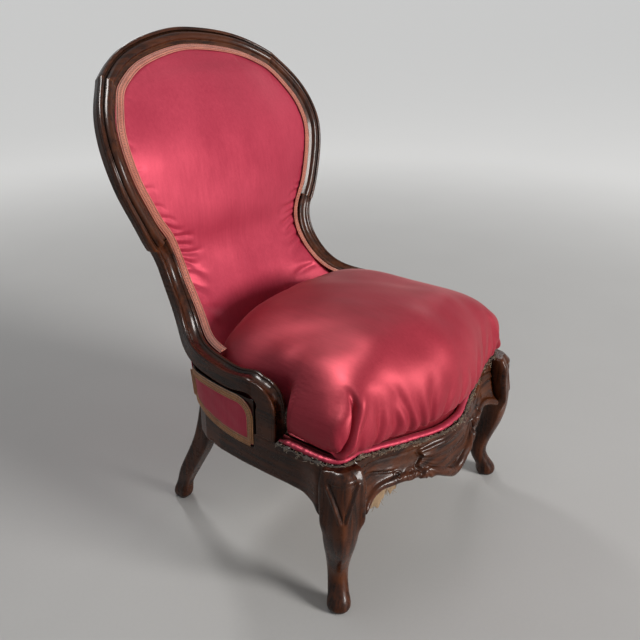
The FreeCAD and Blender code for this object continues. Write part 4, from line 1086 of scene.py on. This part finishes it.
# Sides. Rows of the panel from its front: share of the feet's run, of the half width at
# the lower and the upper edge, and lift of the lower edge up the rail.
PANEL_ROWS = [
    (0.400, 0.996, 0.998, 0.63),
    (0.470, 1.000, 1.002, 0.65),
    (0.590, 0.987, 0.992, 0.72),
    (0.690, 0.955, 0.968, 0.85),
    (0.756, 0.909, 0.934, 0.95),
    (0.784, 0.880, 0.904, 0.96),
]
PANEL_HALF = 0.264


def panel_grid(rows, columns, out):
    """Side panel's face on the right, from its lower to its upper edge."""
    table = []
    for y, low_x, high_x, lift in PANEL_ROWS:
        y_set = max(y * FOOT_RUN, ARM_SET + 0.0453)
        z_low = RAIL_LOW + (RAIL_TOP - RAIL_LOW) * lift
        table.append((low_x * PANEL_HALF, FRONT_LINE + y_set, z_low, high_x * PANEL_HALF, 0.3397))
    fine = spline(table, columns)
    h = np.linspace(0, 1, rows)[:, None]
    x = fine[:, 0] + (fine[:, 3] - fine[:, 0]) * h
    z = fine[:, 2] + (fine[:, 4] - fine[:, 2]) * h
    y = fine[:, 1] + 0 * h
    return np.stack([x + out, y, z], -1)


def side_panel(side):
    """Padded side panel on its wooden ground, rounded at its upper front."""
    u = np.linspace(0, 1, 60)[None, :]
    h = np.linspace(0, 1, 40)[:, None]
    front = panel_grid(40, 60, 0.0)
    ends = ramp(0, 0.18, u) * ramp(0, 0.18, 1 - u)
    edge = np.minimum(ends, ramp(0, 0.25, h) * ramp(0, 0.25, 1 - h))
    crown = 0.0028 * edge + 0.0005 * ripple(front[..., 1] / 0.03, front[..., 2] / 0.03, 41)
    front[..., 0] += crown - 0.0003
    back = panel_grid(40, 60, -0.0009)
    turn = 0.034  # radius of the upper front corner
    for grid in (front, back):
        start, high = grid[0, 0, 1], grid[-1, 0, 2]
        gap = np.clip(turn - (grid[..., 1] - start), 0, None)
        limit = high - turn + np.sqrt(turn**2 - gap**2) - 0.0024
        low = grid[0, :, 2] + 0.0026
        grid[..., 2] = np.maximum(np.minimum(grid[..., 2], limit), low)
        grid[..., 1] = np.clip(grid[..., 1], start + 0.0026, grid[0, -1, 1] - 0.0030)
    front, back = on_side(side, front, back)
    ground = on_side(side, panel_grid(12, 60, -0.0007), panel_grid(12, 60, -0.0029))
    name = side_name(side)
    finish_piece(slab("side_ground_" + name, *ground, "varnished_wood_y"), ())
    panel = slab("side_padding_" + name, front, back, "satin_red_z")
    finish_piece(panel, ("side_panel_" + name,))


def panel_place(y, z, out):
    """Points on a side panel's face at these places along and up."""
    grid = panel_grid(2, 400, out)
    low_z, low_x = (np.interp(y, grid[0, :, 1], grid[0, :, k]) for k in (2, 0))
    high_z, high_x = (np.interp(y, grid[1, :, 1], grid[1, :, k]) for k in (2, 0))
    share = (z - low_z) / (high_z - low_z)
    return np.column_stack([low_x + (high_x - low_x) * share, y, z])


def side_braid(side, settings):
    """Braid round the edge of a side panel, turned in a curve at its upper front."""
    grid = panel_grid(2, 400, 0.001)
    inset = 0.0062
    first, last = grid[0, 0, 1] + inset, grid[0, -1, 1] - inset
    y = np.linspace(first, last, 150)
    low = np.interp(y, grid[0, :, 1], grid[0, :, 2]) + inset
    high = grid[1, 0, 2] - inset
    bottom = np.column_stack([y, low])
    radius = 0.030
    turn = np.linspace(0, math.pi / 2, 40)
    centre = np.array([first + radius, high - radius])
    corner = centre + radius * np.column_stack([-np.cos(turn), np.sin(turn)])
    up = np.column_stack([np.full(30, first), np.linspace(low[0], centre[1], 30, endpoint=False)])
    top = np.column_stack([np.linspace(centre[0], last, 120)[1:], np.full(119, high)])
    rear = np.column_stack([np.full(30, last), np.linspace(high, low[-1], 30)])
    parts = []
    for line in (bottom, np.vstack([up, corner, top]), rear):
        place = panel_place(line[:, 0], line[:, 1], 0.001)
        along = headings(place)
        out = np.broadcast_to(np.array([1.0, 0, 0]), place.shape)
        across = unit(np.cross(along, out))
        outs = np.cross(across, along)
        place, across, outs = on_side(side, place, across, outs)
        parts += braid_parts(place, across, outs, 0.0136, settings.braid_pitch)
    name = side_name(side)
    braid = join_skins("side_braid_" + name, parts, "gold_braid")
    finish_piece(braid, ("side_gimp_" + name,))


def arm_padding(side):
    """Padding on the arm's inner face."""
    edges = at_rows(-0.0182, 0)
    rows = [edges[i] for i in range(20, 24)]
    rows = [edges[19] * 0.35 + edges[20] * 0.65] + rows
    rows.append(np.array([rows[-1][0], FRONT_LINE + ARM_SET + 0.014, rows[-1][2]]))
    path = spline(rows, 70)
    low, high = RAIL_TOP + HAIR, ARM_TOP - 0.0085
    h = np.linspace(0, 1, 36)[:, None]
    u = np.linspace(0, 1, 70)[None, :]
    y = path[:, 1] + 0 * h
    high = high - 0.022 * ramp(0.72, 1.0, u)
    z = low + (high - low) * h + 0 * u
    edge = ramp(0, 0.2, h) * ramp(0, 0.2, 1 - h) * ramp(0, 0.1, u) * ramp(0, 0.1, 1 - u)
    x = path[:, 0] - 0.0040 - 0.0024 * edge - 0.0004 * ripple(y / 0.03, z / 0.03, 51)
    inner = np.stack([x, y, z], -1)
    outer = np.stack([path[:, 0] + 0 * h, y, z], -1)
    inner, outer = on_side(side, inner, outer)
    name = side_name(side)
    pad = slab("arm_padding_" + name, inner, outer, "satin_red_z")
    finish_piece(pad, ("inside_arm_" + name,))


# Outside of the back, in rows like those of the tub.
OUTER_ROWS = [
    (1.254, 0.773, 1.057, 1.072, 10),
    (1.185, 0.773, 1.028, 1.066, 10),
    (1.100, 0.791, 0.972, 1.057, 10),
    (1.030, 0.830, 0.911, 1.048, 10),
    (0.985, 0.885, 0.845, 1.040, 10),
    (0.912, 0.922, 0.800, 1.028, 10),
    (0.804, 0.925, 0.788, 1.012, 9),
    (0.702, 0.905, 0.777, 0.993, 8),
    (0.675, 0.900, 0.774, 0.988, 8),
]


def outer_back():
    """Satin over the outside of the back, bulged where the rear posts pass."""
    edges = at_rows(0.0105, -0.0205)[:15]
    chords = edge_chords(edges, [0.02] * 15, -0.004) + tub_chords(OUTER_ROWS)
    rear, out = chord_grid(chords, 200, 121, 0.0016)
    front, _ = chord_grid(chords, 200, 121, 0.0002)
    x, z = rear[..., 0], rear[..., 2]
    u = np.linspace(-1, 1, 121)[None, :]
    inside = 1 - ramp(0.95, 1.0, np.abs(u))
    soft = ripple(x / 0.12, z / 0.25, 61) * 0.0009 + ripple(x / 0.03, z / 0.2, 62) * 0.00025
    post = bell(np.abs(x), 0.203, 0.020) * (1 - ramp(0.335, 0.372, z))
    rear = rear - out * (soft * inside + 0.0080 * post)[..., None]
    cover = slab("outer_back", rear, front, "satin_red_z")
    finish_piece(cover, ("outer_back_cover",))


# Residue, scrap and bottom


def ragged_rings(path, inward, up, wide, tall, seed, columns=11):
    """Rough strip with a torn edge, lying along a path."""
    s = lengths(path)
    rng = np.random.default_rng(seed)
    turns = np.linspace(0, 2 * math.pi, columns, endpoint=False)
    rings = []
    broad = 0.72 + 0.28 * ripple(s / 0.035, s * 0, seed) + 0.22 * ripple(s / 0.009, s * 0, seed + 1)
    for t in turns:
        jag = 1 + 0.35 * rng.uniform(-1, 1, len(path)) + 0.30 * ripple(s / 0.006, s * 0 + t, seed + 2)
        across = math.cos(t) * wide * broad * (jag if math.cos(t) < 0 else 1)
        lift = max(math.sin(t), -0.25) * tall * np.clip(broad, 0.35, 1.4) * (0.75 + 0.25 * jag)
        rings.append(path + inward * across[:, None] + up * lift[:, None])
    return np.stack(rings, axis=1)


FIBRE_LENGTH = (0.003, 0.009)


def fibres(places, alongs, outs, count, seed, spread):
    """Short curled threads strewn along a path."""
    rng = np.random.default_rng(seed)
    parts = []
    for _ in range(count):
        i = int(rng.integers(0, len(places)))
        along, out = alongs[i], outs[i]
        across = np.cross(along, out)
        turn = rng.normal(0, 0.7)
        way = along * math.cos(turn) + across * math.sin(turn)
        rise = rng.uniform(-0.15, 0.45)
        long = rng.uniform(*FIBRE_LENGTH)
        t = np.linspace(-0.5, 0.5, 6)[:, None]
        bow = np.cross(way, out) * rng.normal(0, 0.0012)
        start = places[i] + across * rng.normal(0, spread) + out * rng.uniform(0.0004, 0.0022)
        line = start + way * long * t + out * long * rise * (t + 0.5) * 0.5 + bow * np.cos(t * 5)
        side = np.broadcast_to(out + along * 0.01, line.shape)
        parts.append(tube_rings(line, side, rng.uniform(0.00022, 0.00048), 5))
    return parts


def residue_runs():
    """Paths of the torn edge: along the rails, and up the arms' front faces."""
    runs = []
    up = np.array([0, 0, 1.0])
    path, inward = border_path(1500, 0.0020)
    tilt = unit(up * 0.75 - inward * 0.65)
    along = headings(path)
    runs.append((path + up * 0.0002, along, tilt, 0.0052, 0.0026))
    for side in (-1, 1):
        y = FRONT_LINE + ARM_SET - 0.0004
        post = np.linspace((side * 0.2335, y, RAIL_TOP + 0.004), (side * 0.2335, y, 0.330), 160)
        out = np.broadcast_to(np.array([0, -1.0, 0]), post.shape)
        runs.append((post, np.broadcast_to(up, post.shape), out, 0.0032, 0.0014))
    return runs


def edge_residue():
    """Torn cloth and glue left on the rails' upper edge, with loose jute fibres."""
    crust, threads = [], []
    for index, (path, along, out, wide, tall) in enumerate(residue_runs()):
        across = np.cross(along, out)
        s = np.arange(len(path)) / len(path) * 30
        patchy = np.clip(0.75 + 0.5 * ripple(s * 1.3, s * 0, 73 + index), 0.12, 1.2)
        rings = ragged_rings(path, across, out, wide * 0.8, tall * 0.75, 71 + index)
        middle = rings.mean(axis=1, keepdims=True)
        crust.append(middle + (rings - middle) * patchy[:, None, None])
        count = 250 if index == 0 else 40
        threads += fibres(path, along, out, count, 75 + index, wide * 0.55)
    residue = join_skins("edge_residue", crust, "residue")
    finish_piece(residue, ())
    fluff = join_skins("edge_fibres", threads, "jute")
    finish_piece(fluff, ())


def stray_tacks():
    """Old tack heads in the residue."""
    path, inward = border_path(240, 0.0030)
    rng = np.random.default_rng(81)
    parts = []
    for i in range(4, 236, 5):
        if rng.uniform() < 0.3:
            continue
        centre = path[i] + inward[i] * rng.uniform(-0.002, 0.002)
        centre = centre + np.array([0, 0, rng.uniform(0.0028, 0.0040)])
        rings = []
        for height, radius in ((0, 0.0019), (0.0006, 0.0018), (0.0011, 0.0011), (0.0013, 0.0003)):
            t = np.linspace(0, 2 * math.pi, 10, endpoint=False)
            rings.append(centre + np.stack([radius * np.cos(t), radius * np.sin(t), 0 * t + height], 1))
        parts.append(np.array(rings))
    tacks = join_skins("stray_tacks", parts, "iron")
    finish_piece(tacks, ())


def hessian_scrap():
    """Torn jute hanging under the front rail, with loose threads."""
    low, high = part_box("hessian_scrap")
    x0, x1, top, bottom = low[0] + 0.012, low[0] + 0.082, high[2], low[2] - 0.004
    y = low[1] - 0.021
    columns, rows = 34, 44
    u = np.linspace(0, 1, columns)[:, None]
    v = np.linspace(0, 1, rows)[None, :]
    torn = 0.80 + 0.16 * np.sin(u * 9) + 0.07 * np.sin(u * 31 + 1)
    x = x0 + (x1 - x0) * (u + 0.05 * np.sin(v * 6 + u * 3)) + 0 * v
    z = top - (top - bottom) * v * torn
    wave = y + 0.0035 * np.sin(u * 7 + v * 2.5) * v + 0.006 * v**2
    front = np.stack([x, wave, z], -1)
    back = front + np.array([0, 0.0009, 0])
    cloth = slab("torn_hessian", front, back, "hessian")
    finish_piece(cloth, ("hessian_scrap",))
    rng = np.random.default_rng(91)
    parts = []
    for _ in range(14):
        c = int(rng.integers(1, columns - 1))
        start = front[c, -1]
        t = np.linspace(0, 1, 12)[:, None]
        sway = (rng.uniform(-0.006, 0.006), rng.uniform(-0.004, 0.004))
        drift = np.array([*sway, -rng.uniform(0.004, 0.012)])
        curl = np.array([rng.uniform(-0.002, 0.002), 0, 0])
        line = start + drift * t + curl * np.sin(t * 5)
        side = np.broadcast_to(np.array([0, 1.0, 0]), line.shape)
        parts.append(tube_rings(line, side, 0.00038, 5))
    threads = join_skins("loose_threads", parts, "hessian")
    finish_piece(threads, ())


def bottom_sheet():
    """Hessian under the seat, sagging a little."""
    low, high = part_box("bottom_cloth")
    points = mesh_points(NODES["bottom_cloth"])
    under = points[points[:, 2] < low[2] + 0.0004][:, :2]
    centre = under.mean(axis=0)
    angles = np.arctan2(under[:, 1] - centre[1], under[:, 0] - centre[0])
    corners = under[np.argsort(angles)]
    distinct = [corners[0]]
    for corner in corners[1:]:
        if np.linalg.norm(corner - distinct[-1]) > 0.002:
            distinct.append(corner)
    ring = np.vstack([distinct, distinct[:1]])
    spans = zip(ring[:-1], ring[1:])
    edge = np.concatenate([np.linspace(a, b, 14, endpoint=False) for a, b in spans])
    rings = []
    for share in np.linspace(1, 0.02, 40):
        flat = centre + (edge - centre) * share
        sag = 0.004 * (1 - share**2) + 0.0006 * ripple(flat[:, 0] / 0.05, flat[:, 1] / 0.05, 95)
        rings.append(np.column_stack([flat, high[2] - 0.0002 - sag * (share < 0.985)]))
    upper = np.array(rings)
    lower = upper[::-1] - np.array([0, 0, 0.0009])
    cloth = join_skins("bottom_hessian", [np.concatenate([upper[::-1], lower[::-1]])], "hessian")
    finish_piece(cloth, ("bottom_cloth",))
    flat = (float(high[0] - low[0]), float(high[1] - low[1]))


# Carving


def merged_copy(nodes, name, voxel):
    """One evenly meshed skin over several frame nodes, ready to carve."""
    verts, faces = [], []
    for node in nodes:
        mesh = NODES[node].data
        start = len(verts)
        verts.extend(tuple(v.co) for v in mesh.vertices)
        faces.extend(tuple(start + i for i in p.vertices) for p in mesh.polygons)
    obj = make_object(name, verts, faces)
    even_mesh(obj, voxel)
    return obj


def leg_places(points):
    """Each point's side, and its distances out, across and away from its front leg."""
    side = np.where(points[:, 0] < 0, -1, 1)
    x = points[:, 0] * side - FOOT_SPACING
    y = points[:, 1] - FRONT_LINE
    return side, (x - y) / math.sqrt(2), (x + y) / math.sqrt(2), np.hypot(x, y)


def swell_shoulders(points):
    """Sweeps the rails' faces out into the legs, and rounds the legs' tops."""
    side, out, _, away = leg_places(points)
    x, y, z = points.T.copy()
    low = (1 - 0.55 * ramp(0.256, 0.279, z)) * ramp(0.150, 0.190, z) * ramp(0.026, 0.036, away)
    behind = y - FRONT_LINE
    near = 1 - ramp(0.018, 0.085, behind)
    face = ramp(0.246, 0.258, x * side)
    push = 0.011 * near**1.5 * face * low * ramp(0.004, 0.012, behind)
    points[:, 0] += push * side
    gap = FOOT_SPACING - x * side
    near = 1 - ramp(0.018, 0.095, gap)
    face = ramp(-0.248, -0.262, y)
    push = 0.017 * near**1.5 * face * low * ramp(0.004, 0.014, gap)
    points[:, 1] -= push
    rim = np.clip((z - 0.250) / 0.029, 0, 1)
    keep = np.sqrt(1 - 0.72 * rim**2)
    weight = ramp(-0.004, 0.014, out)
    scale = 1 - (1 - keep) * weight
    points[:, 0] = side * FOOT_SPACING + (points[:, 0] - side * FOOT_SPACING) * scale
    points[:, 1] = FRONT_LINE + (points[:, 1] - FRONT_LINE) * scale
    return points


def lappet(points):
    """Pointed inset on each knee, with a groove along its edges and a cap above."""
    _, out, across, _ = leg_places(points)
    z = points[:, 2]
    front = ramp(0.006, 0.016, out)
    tip, top = 0.197, 0.259
    v = np.clip((z - tip) / (top - tip), 0, 1.2)
    half = 0.0015 + 0.0205 * v**1.15
    edge = np.abs(across) - half
    in_z = ramp(tip - 0.005, tip + 0.003, z) * (1 - ramp(top - 0.001, top + 0.002, z))
    groove = bell(edge, 0, 0.0019)
    lip = bell(edge, 0.0042, 0.0022)
    move = front * in_z * (0.0018 * lip - 0.0034 * groove)
    move -= front * 0.0012 * in_z * (1 - ramp(-0.003, 0.0, edge))
    move -= front * 0.0022 * bell(z, 0.2610, 0.0016) * (np.abs(across) < 0.024)
    move += front * 0.0014 * bell(z, 0.2665, 0.0034) * (np.abs(across) < 0.022)
    ridge = bell(across, 0, 0.0100) * ramp(0.050, 0.10, z) * (1 - ramp(0.150, 0.197, z))
    return move + front * 0.0010 * ridge


def apron(points, normals):
    """Leaf, scroll and bead carved on the front rail."""
    x, _, z = points.T
    a = np.abs(x)
    facing = ramp(0.1, 0.5, -normals[:, 1]) * (1 - ramp(0.215, 0.228, a))
    tip = 0.088 - 0.010 * ramp(0.205, 0.236, z) + 0.004 * np.sin(z * 300)
    share = np.clip(1 - a / 0.088, 0, 1)
    high = 0.236 + 0.006 * share
    deep = 0.222 - 0.062 * share**0.75
    v = (z - deep) / (high - deep)
    leaf = (1 - ramp(tip - 0.0025, tip, a)) * (1 - ramp(0.97, 1.05, v))
    flutes = np.cos(v * math.pi * 6)
    move = leaf * (0.0030 + 0.0013 * flutes * ramp(0.0, 0.2, share))
    move -= 0.0020 * bell(v, 1.10, 0.06) * (1 - ramp(tip, tip + 0.006, a))
    under = ramp(0.196, 0.206, z) * (1 - ramp(0.238, 0.246, z))
    move -= 0.0036 * bell(a, tip + 0.004, 0.0035) * under
    for centre, height, radius in ((0.110, 0.206, 0.0110), (0.134, 0.214, 0.0065)):
        d = np.hypot(a - centre, z - height)
        spin = np.arctan2(z - height, a - centre)
        coil = d - radius * (0.60 + 0.40 * (spin / math.pi + 1) / 2)
        near = 1 - ramp(radius * 1.25, radius * 1.7, d)
        move += near * 0.0014 * bell(coil, 0, 0.0022)
        move -= near * 0.0013 * bell(coil, -0.0042, 0.0019)
    run = ramp(0.122, 0.145, a)
    line = 0.222 + 0.018 * ramp(0.13, 0.21, a)
    groove = (z - line) / 0.0024
    move += run * (0.0013 * bell(groove, 1.7, 1) - 0.0024 * bell(groove, 0, 1))
    upper = (z - 0.244 - 0.010 * ramp(0.09, 0.2, a)) / 0.0022
    move -= 0.0013 * bell(upper, 0, 1) * ramp(0.02, 0.05, a)
    move += 0.0004 * ripple(x / 0.03, z / 0.03, 111)
    return move * facing


CARVED_NODES = [
    "front_leg_left",
    "front_leg_right",
    "front_seat_rail",
    "side_seat_rail_left",
    "side_seat_rail_right",
]


def carved_frame():
    """Front legs and rails as one carved skin, with swept joints."""
    obj = merged_copy(CARVED_NODES, "carved_frame", 0.0016)
    set_points(obj, swell_shoulders(mesh_points(obj)))
    points = mesh_points(obj)
    _, out, _, away = leg_places(points)
    joint = bell(away, 0.034, 0.014) * ramp(0.150, 0.175, points[:, 2])
    joint *= 1 - ramp(0.014, 0.024, out)
    smooth_where(obj, joint, 36)
    points, normals = mesh_points(obj), mesh_normals(obj)
    move = lappet(points) + apron(points, normals)
    set_points(obj, points + normals * move[:, None])
    for name in ("varnished_wood_z", "varnished_wood_x", "varnished_wood_y"):
        obj.data.materials.append(material(name))
    centres = vectors(obj.data.polygons, "center")
    _, _, _, away = leg_places(centres)
    slots = np.where(away < 0.036, 0, np.where(np.abs(centres[:, 0]) < 0.215, 1, 2))
    obj.data.polygons.foreach_set("material_index", slots.astype(np.int32))
    finish_piece(obj, CARVED_NODES)


# Finishes of the nodes that show as the frame has them.
NODE_FINISHES = {
    "varnished_wood_x": ["crest_rail", "rear_seat_rail"],
    "varnished_wood_y": ["arm_left", "arm_right"],
    "varnished_wood_z": ["back_stile_left", "back_stile_right", "rear_leg_left", "rear_leg_right"],
    "bare_wood": [
        "frame_dowels",
        "front_corner_block_left",
        "front_corner_block_right",
        "rear_corner_block_left",
        "rear_corner_block_right",
        "back_tacking_rail",
    ],
    "iron": ["block_screws", "webbing_tacks"],
    "spring_steel": ["seat_springs"],
    "webbing": ["back_webbing", "seat_webbing"],
    "hessian": ["back_hessian", "seat_hessian"],
}


def finish_nodes():
    for finish, names in NODE_FINISHES.items():
        for name in names:
            mesh = NODES[name].data
            mesh.materials.clear()
            mesh.materials.append(material(finish))


# Stage. The camera's place and axes were solved from the photo.
CAMERA_PLACE = (-1.085, -0.897, 1.008)
CAMERA_RIGHT = (0.6266, -0.7793, 0.0060)
CAMERA_UP = (0.3229, 0.2666, 0.9080)
CAMERA_BACK = (-0.7092, -0.5671, 0.4187)
SEEN_BOOST = 0.34  # the world's extra light where it is seen
FLOOR_REACH = 60
# Name, place, target, size, power, colour, and whether it lights matt ground.
LAMPS = [
    ("key", (0.75, -4.85, 1.90), (0.0, 0.0, 0.40), 1.7, 272, (1.0, 0.975, 0.95), True),
    ("sheen", (-0.66, 0.26, 2.6), (-0.2, -0.1, 0.4), 1.0, 92, (1.0, 0.99, 0.97), False),
    ("over", (0.0, 0.2, 3.2), (0.0, 0.0, 0.4), 1.6, 2, (1.0, 0.99, 0.97), True),
    ("fill", (-2.5, -1.2, 2.0), (0.0, 0.0, 0.4), 1.2, 1, (0.97, 0.98, 1.0), True),
    ("rim", (2.3, 0.4, 1.5), (0.1, 0.1, 0.7), 0.5, 3, (1.0, 1.0, 1.0), True),
    ("crown", (0.9, 1.9, 2.2), (0.1, 0.2, 0.8), 0.5, 14, (1.0, 0.99, 0.97), True),
]


def build_stage(settings):
    corners = [(x * FLOOR_REACH, y * FLOOR_REACH, 0) for x, y in ((-1, -1), (1, -1), (1, 1), (-1, 1))]
    floor = make_object("floor", corners, [(0, 1, 2, 3)], "floor")
    scene = bpy.context.scene
    for name, place, target, size, power, colour, diffuse in LAMPS:
        lamp = bpy.data.lights.new(name, "AREA")
        lamp.shape = "DISK"
        lamp.size = size
        lamp.energy = power
        lamp.color = colour
        holder = bpy.data.objects.new(name, lamp)
        holder.location = place
        holder.visible_diffuse = diffuse
        way = Vector(target) - Vector(place)
        holder.rotation_euler = way.to_track_quat("-Z", "Y").to_euler()
        scene.collection.objects.link(holder)
    world = bpy.data.worlds.new("studio")
    world.use_nodes = True
    tree = world.node_tree
    strength = seen_rays(tree) * SEEN_BOOST + settings.world_light
    sockets = {"Color": (0.92, 0.94, 0.96, 1), "Strength": strength}
    fill_sockets(tree, tree.nodes["Background"], sockets)
    scene.world = world
    camera = bpy.data.cameras.new("camera")
    camera.lens = settings.lens
    camera.sensor_width = 36
    holder = bpy.data.objects.new("camera", camera)
    columns = [Vector(CAMERA_RIGHT), Vector(CAMERA_UP), Vector(CAMERA_BACK)]
    turn = Matrix([[c[i] for c in columns] for i in range(3)]).to_4x4()
    holder.matrix_world = Matrix.Translation(CAMERA_PLACE) @ turn
    scene.collection.objects.link(holder)
    scene.camera = holder
    scene.view_settings.view_transform = "Standard"


# Add-on


class ChairSettings(bpy.types.PropertyGroup):
    braid_pitch: bpy.props.FloatProperty(
        name="Braid pitch",
        description="Length of one crossing of the braid's cords",
        default=0.0056, min=0.004, max=0.02, unit="LENGTH",
    )
    seat_fill: bpy.props.FloatProperty(
        name="Seat fill",
        description="Share of the seat's inside that is stuffing",
        default=0.8, min=0, max=1, subtype="FACTOR",
    )
    wood_dark: bpy.props.FloatVectorProperty(
        name="Dark wood",
        description="The stained timber's dark grain",
        default=(0.013, 0.0042, 0.0021), min=0, max=1, subtype="COLOR",
    )
    wood_light: bpy.props.FloatVectorProperty(
        name="Light wood",
        description="The stained timber's light grain",
        default=(0.068, 0.0180, 0.0056), min=0, max=1, subtype="COLOR",
    )
    satin_deep: bpy.props.FloatVectorProperty(
        name="Satin, deep",
        description="Dark streaks of the back's satin",
        default=(0.335, 0.0200, 0.0500), min=0, max=1, subtype="COLOR",
    )
    satin_bright: bpy.props.FloatVectorProperty(
        name="Satin, bright",
        description="Light streaks of the back's satin",
        default=(0.535, 0.0580, 0.1020), min=0, max=1, subtype="COLOR",
    )
    # The seat's colours are the back's satin darkened, as painted shade.
    seat_deep: bpy.props.FloatVectorProperty(
        name="Seat, deep",
        description="Dark streaks of the seat's satin",
        default=(0.240, 0.0105, 0.0260), min=0, max=1, subtype="COLOR",
    )
    seat_bright: bpy.props.FloatVectorProperty(
        name="Seat, bright",
        description="Light streaks of the seat's satin",
        default=(0.410, 0.0345, 0.0590), min=0, max=1, subtype="COLOR",
    )
    # The band's colours are the satin darkened, as painted shade under the seat's edge.
    band_deep: bpy.props.FloatVectorProperty(
        name="Band, deep",
        description="Dark streaks of the border band",
        default=(0.150, 0.0070, 0.0150), min=0, max=1, subtype="COLOR",
    )
    band_bright: bpy.props.FloatVectorProperty(
        name="Band, bright",
        description="Light streaks of the border band",
        default=(0.240, 0.0140, 0.0250), min=0, max=1, subtype="COLOR",
    )
    lens: bpy.props.FloatProperty(
        name="Lens",
        description="Focal length of the camera",
        default=46.0, min=20, max=120, unit="CAMERA",
    )
    world_light: bpy.props.FloatProperty(
        name="World light",
        description="Strength of the light from all round",
        default=0.165, min=0, max=2, subtype="FACTOR",
    )


class CHAIR_OT_wood(bpy.types.Operator):
    """Frame finishes, carved legs and carved front rail"""

    bl_idname = "chair.wood"
    bl_label = "Wood"
    bl_options = {"REGISTER", "UNDO"}

    def execute(self, context):
        finish_nodes()
        carved_frame()
        return {"FINISHED"}


class CHAIR_OT_back(bpy.types.Operator):
    """Back padding, its braid and the outer cover"""

    bl_idname = "chair.back"
    bl_label = "Back"
    bl_options = {"REGISTER", "UNDO"}

    def execute(self, context):
        back_padding()
        back_braid(context.scene.chair)
        outer_back()
        return {"FINISHED"}


class CHAIR_OT_sides(bpy.types.Operator):
    """Side panels, their braid and the arms' padding"""

    bl_idname = "chair.sides"
    bl_label = "Sides"
    bl_options = {"REGISTER", "UNDO"}

    def execute(self, context):
        for side in (-1, 1):
            side_panel(side)
            side_braid(side, context.scene.chair)
            arm_padding(side)
        return {"FINISHED"}


class CHAIR_OT_seat(bpy.types.Operator):
    """Seat cushion, band and roll"""

    bl_idname = "chair.seat"
    bl_label = "Seat"
    bl_options = {"REGISTER", "UNDO"}

    def execute(self, context):
        seat_cushion()
        border_roll()
        border_band()
        return {"FINISHED"}


class CHAIR_OT_wear(bpy.types.Operator):
    """Residue, tacks, torn hessian and the bottom cloth"""

    bl_idname = "chair.wear"
    bl_label = "Wear"
    bl_options = {"REGISTER", "UNDO"}

    def execute(self, context):
        edge_residue()
        stray_tacks()
        hessian_scrap()
        bottom_sheet()
        return {"FINISHED"}


class CHAIR_OT_stage(bpy.types.Operator):
    """Floor, lights and camera"""

    bl_idname = "chair.stage"
    bl_label = "Stage"
    bl_options = {"REGISTER", "UNDO"}

    def execute(self, context):
        build_stage(context.scene.chair)
        return {"FINISHED"}


OPERATORS = (
    CHAIR_OT_wood,
    CHAIR_OT_back,
    CHAIR_OT_sides,
    CHAIR_OT_seat,
    CHAIR_OT_wear,
    CHAIR_OT_stage,
)


class CHAIR_PT_panel(bpy.types.Panel):
    """Settings and one button for each group"""

    bl_label = "Dressing Chair"
    bl_space_type = "VIEW_3D"
    bl_region_type = "UI"
    bl_category = "Chair"

    def draw(self, context):
        column = self.layout.column()
        for name in ChairSettings.__annotations__:
            column.prop(context.scene.chair, name)
        for operator in OPERATORS:
            column.operator(operator.bl_idname)


CLASSES = (ChairSettings,) + OPERATORS + (CHAIR_PT_panel,)


def register():
    for cls in CLASSES:
        bpy.utils.register_class(cls)
    bpy.types.Scene.chair = bpy.props.PointerProperty(type=ChairSettings)


def unregister():
    del bpy.types.Scene.chair
    for cls in reversed(CLASSES):
        bpy.utils.unregister_class(cls)


def main():
    register()
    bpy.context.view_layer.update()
    bpy.ops.chair.wood()
    bpy.ops.chair.back()
    bpy.ops.chair.sides()
    bpy.ops.chair.seat()
    bpy.ops.chair.wear()
    bpy.ops.chair.stage()


if __name__ == "__main__":
    main()
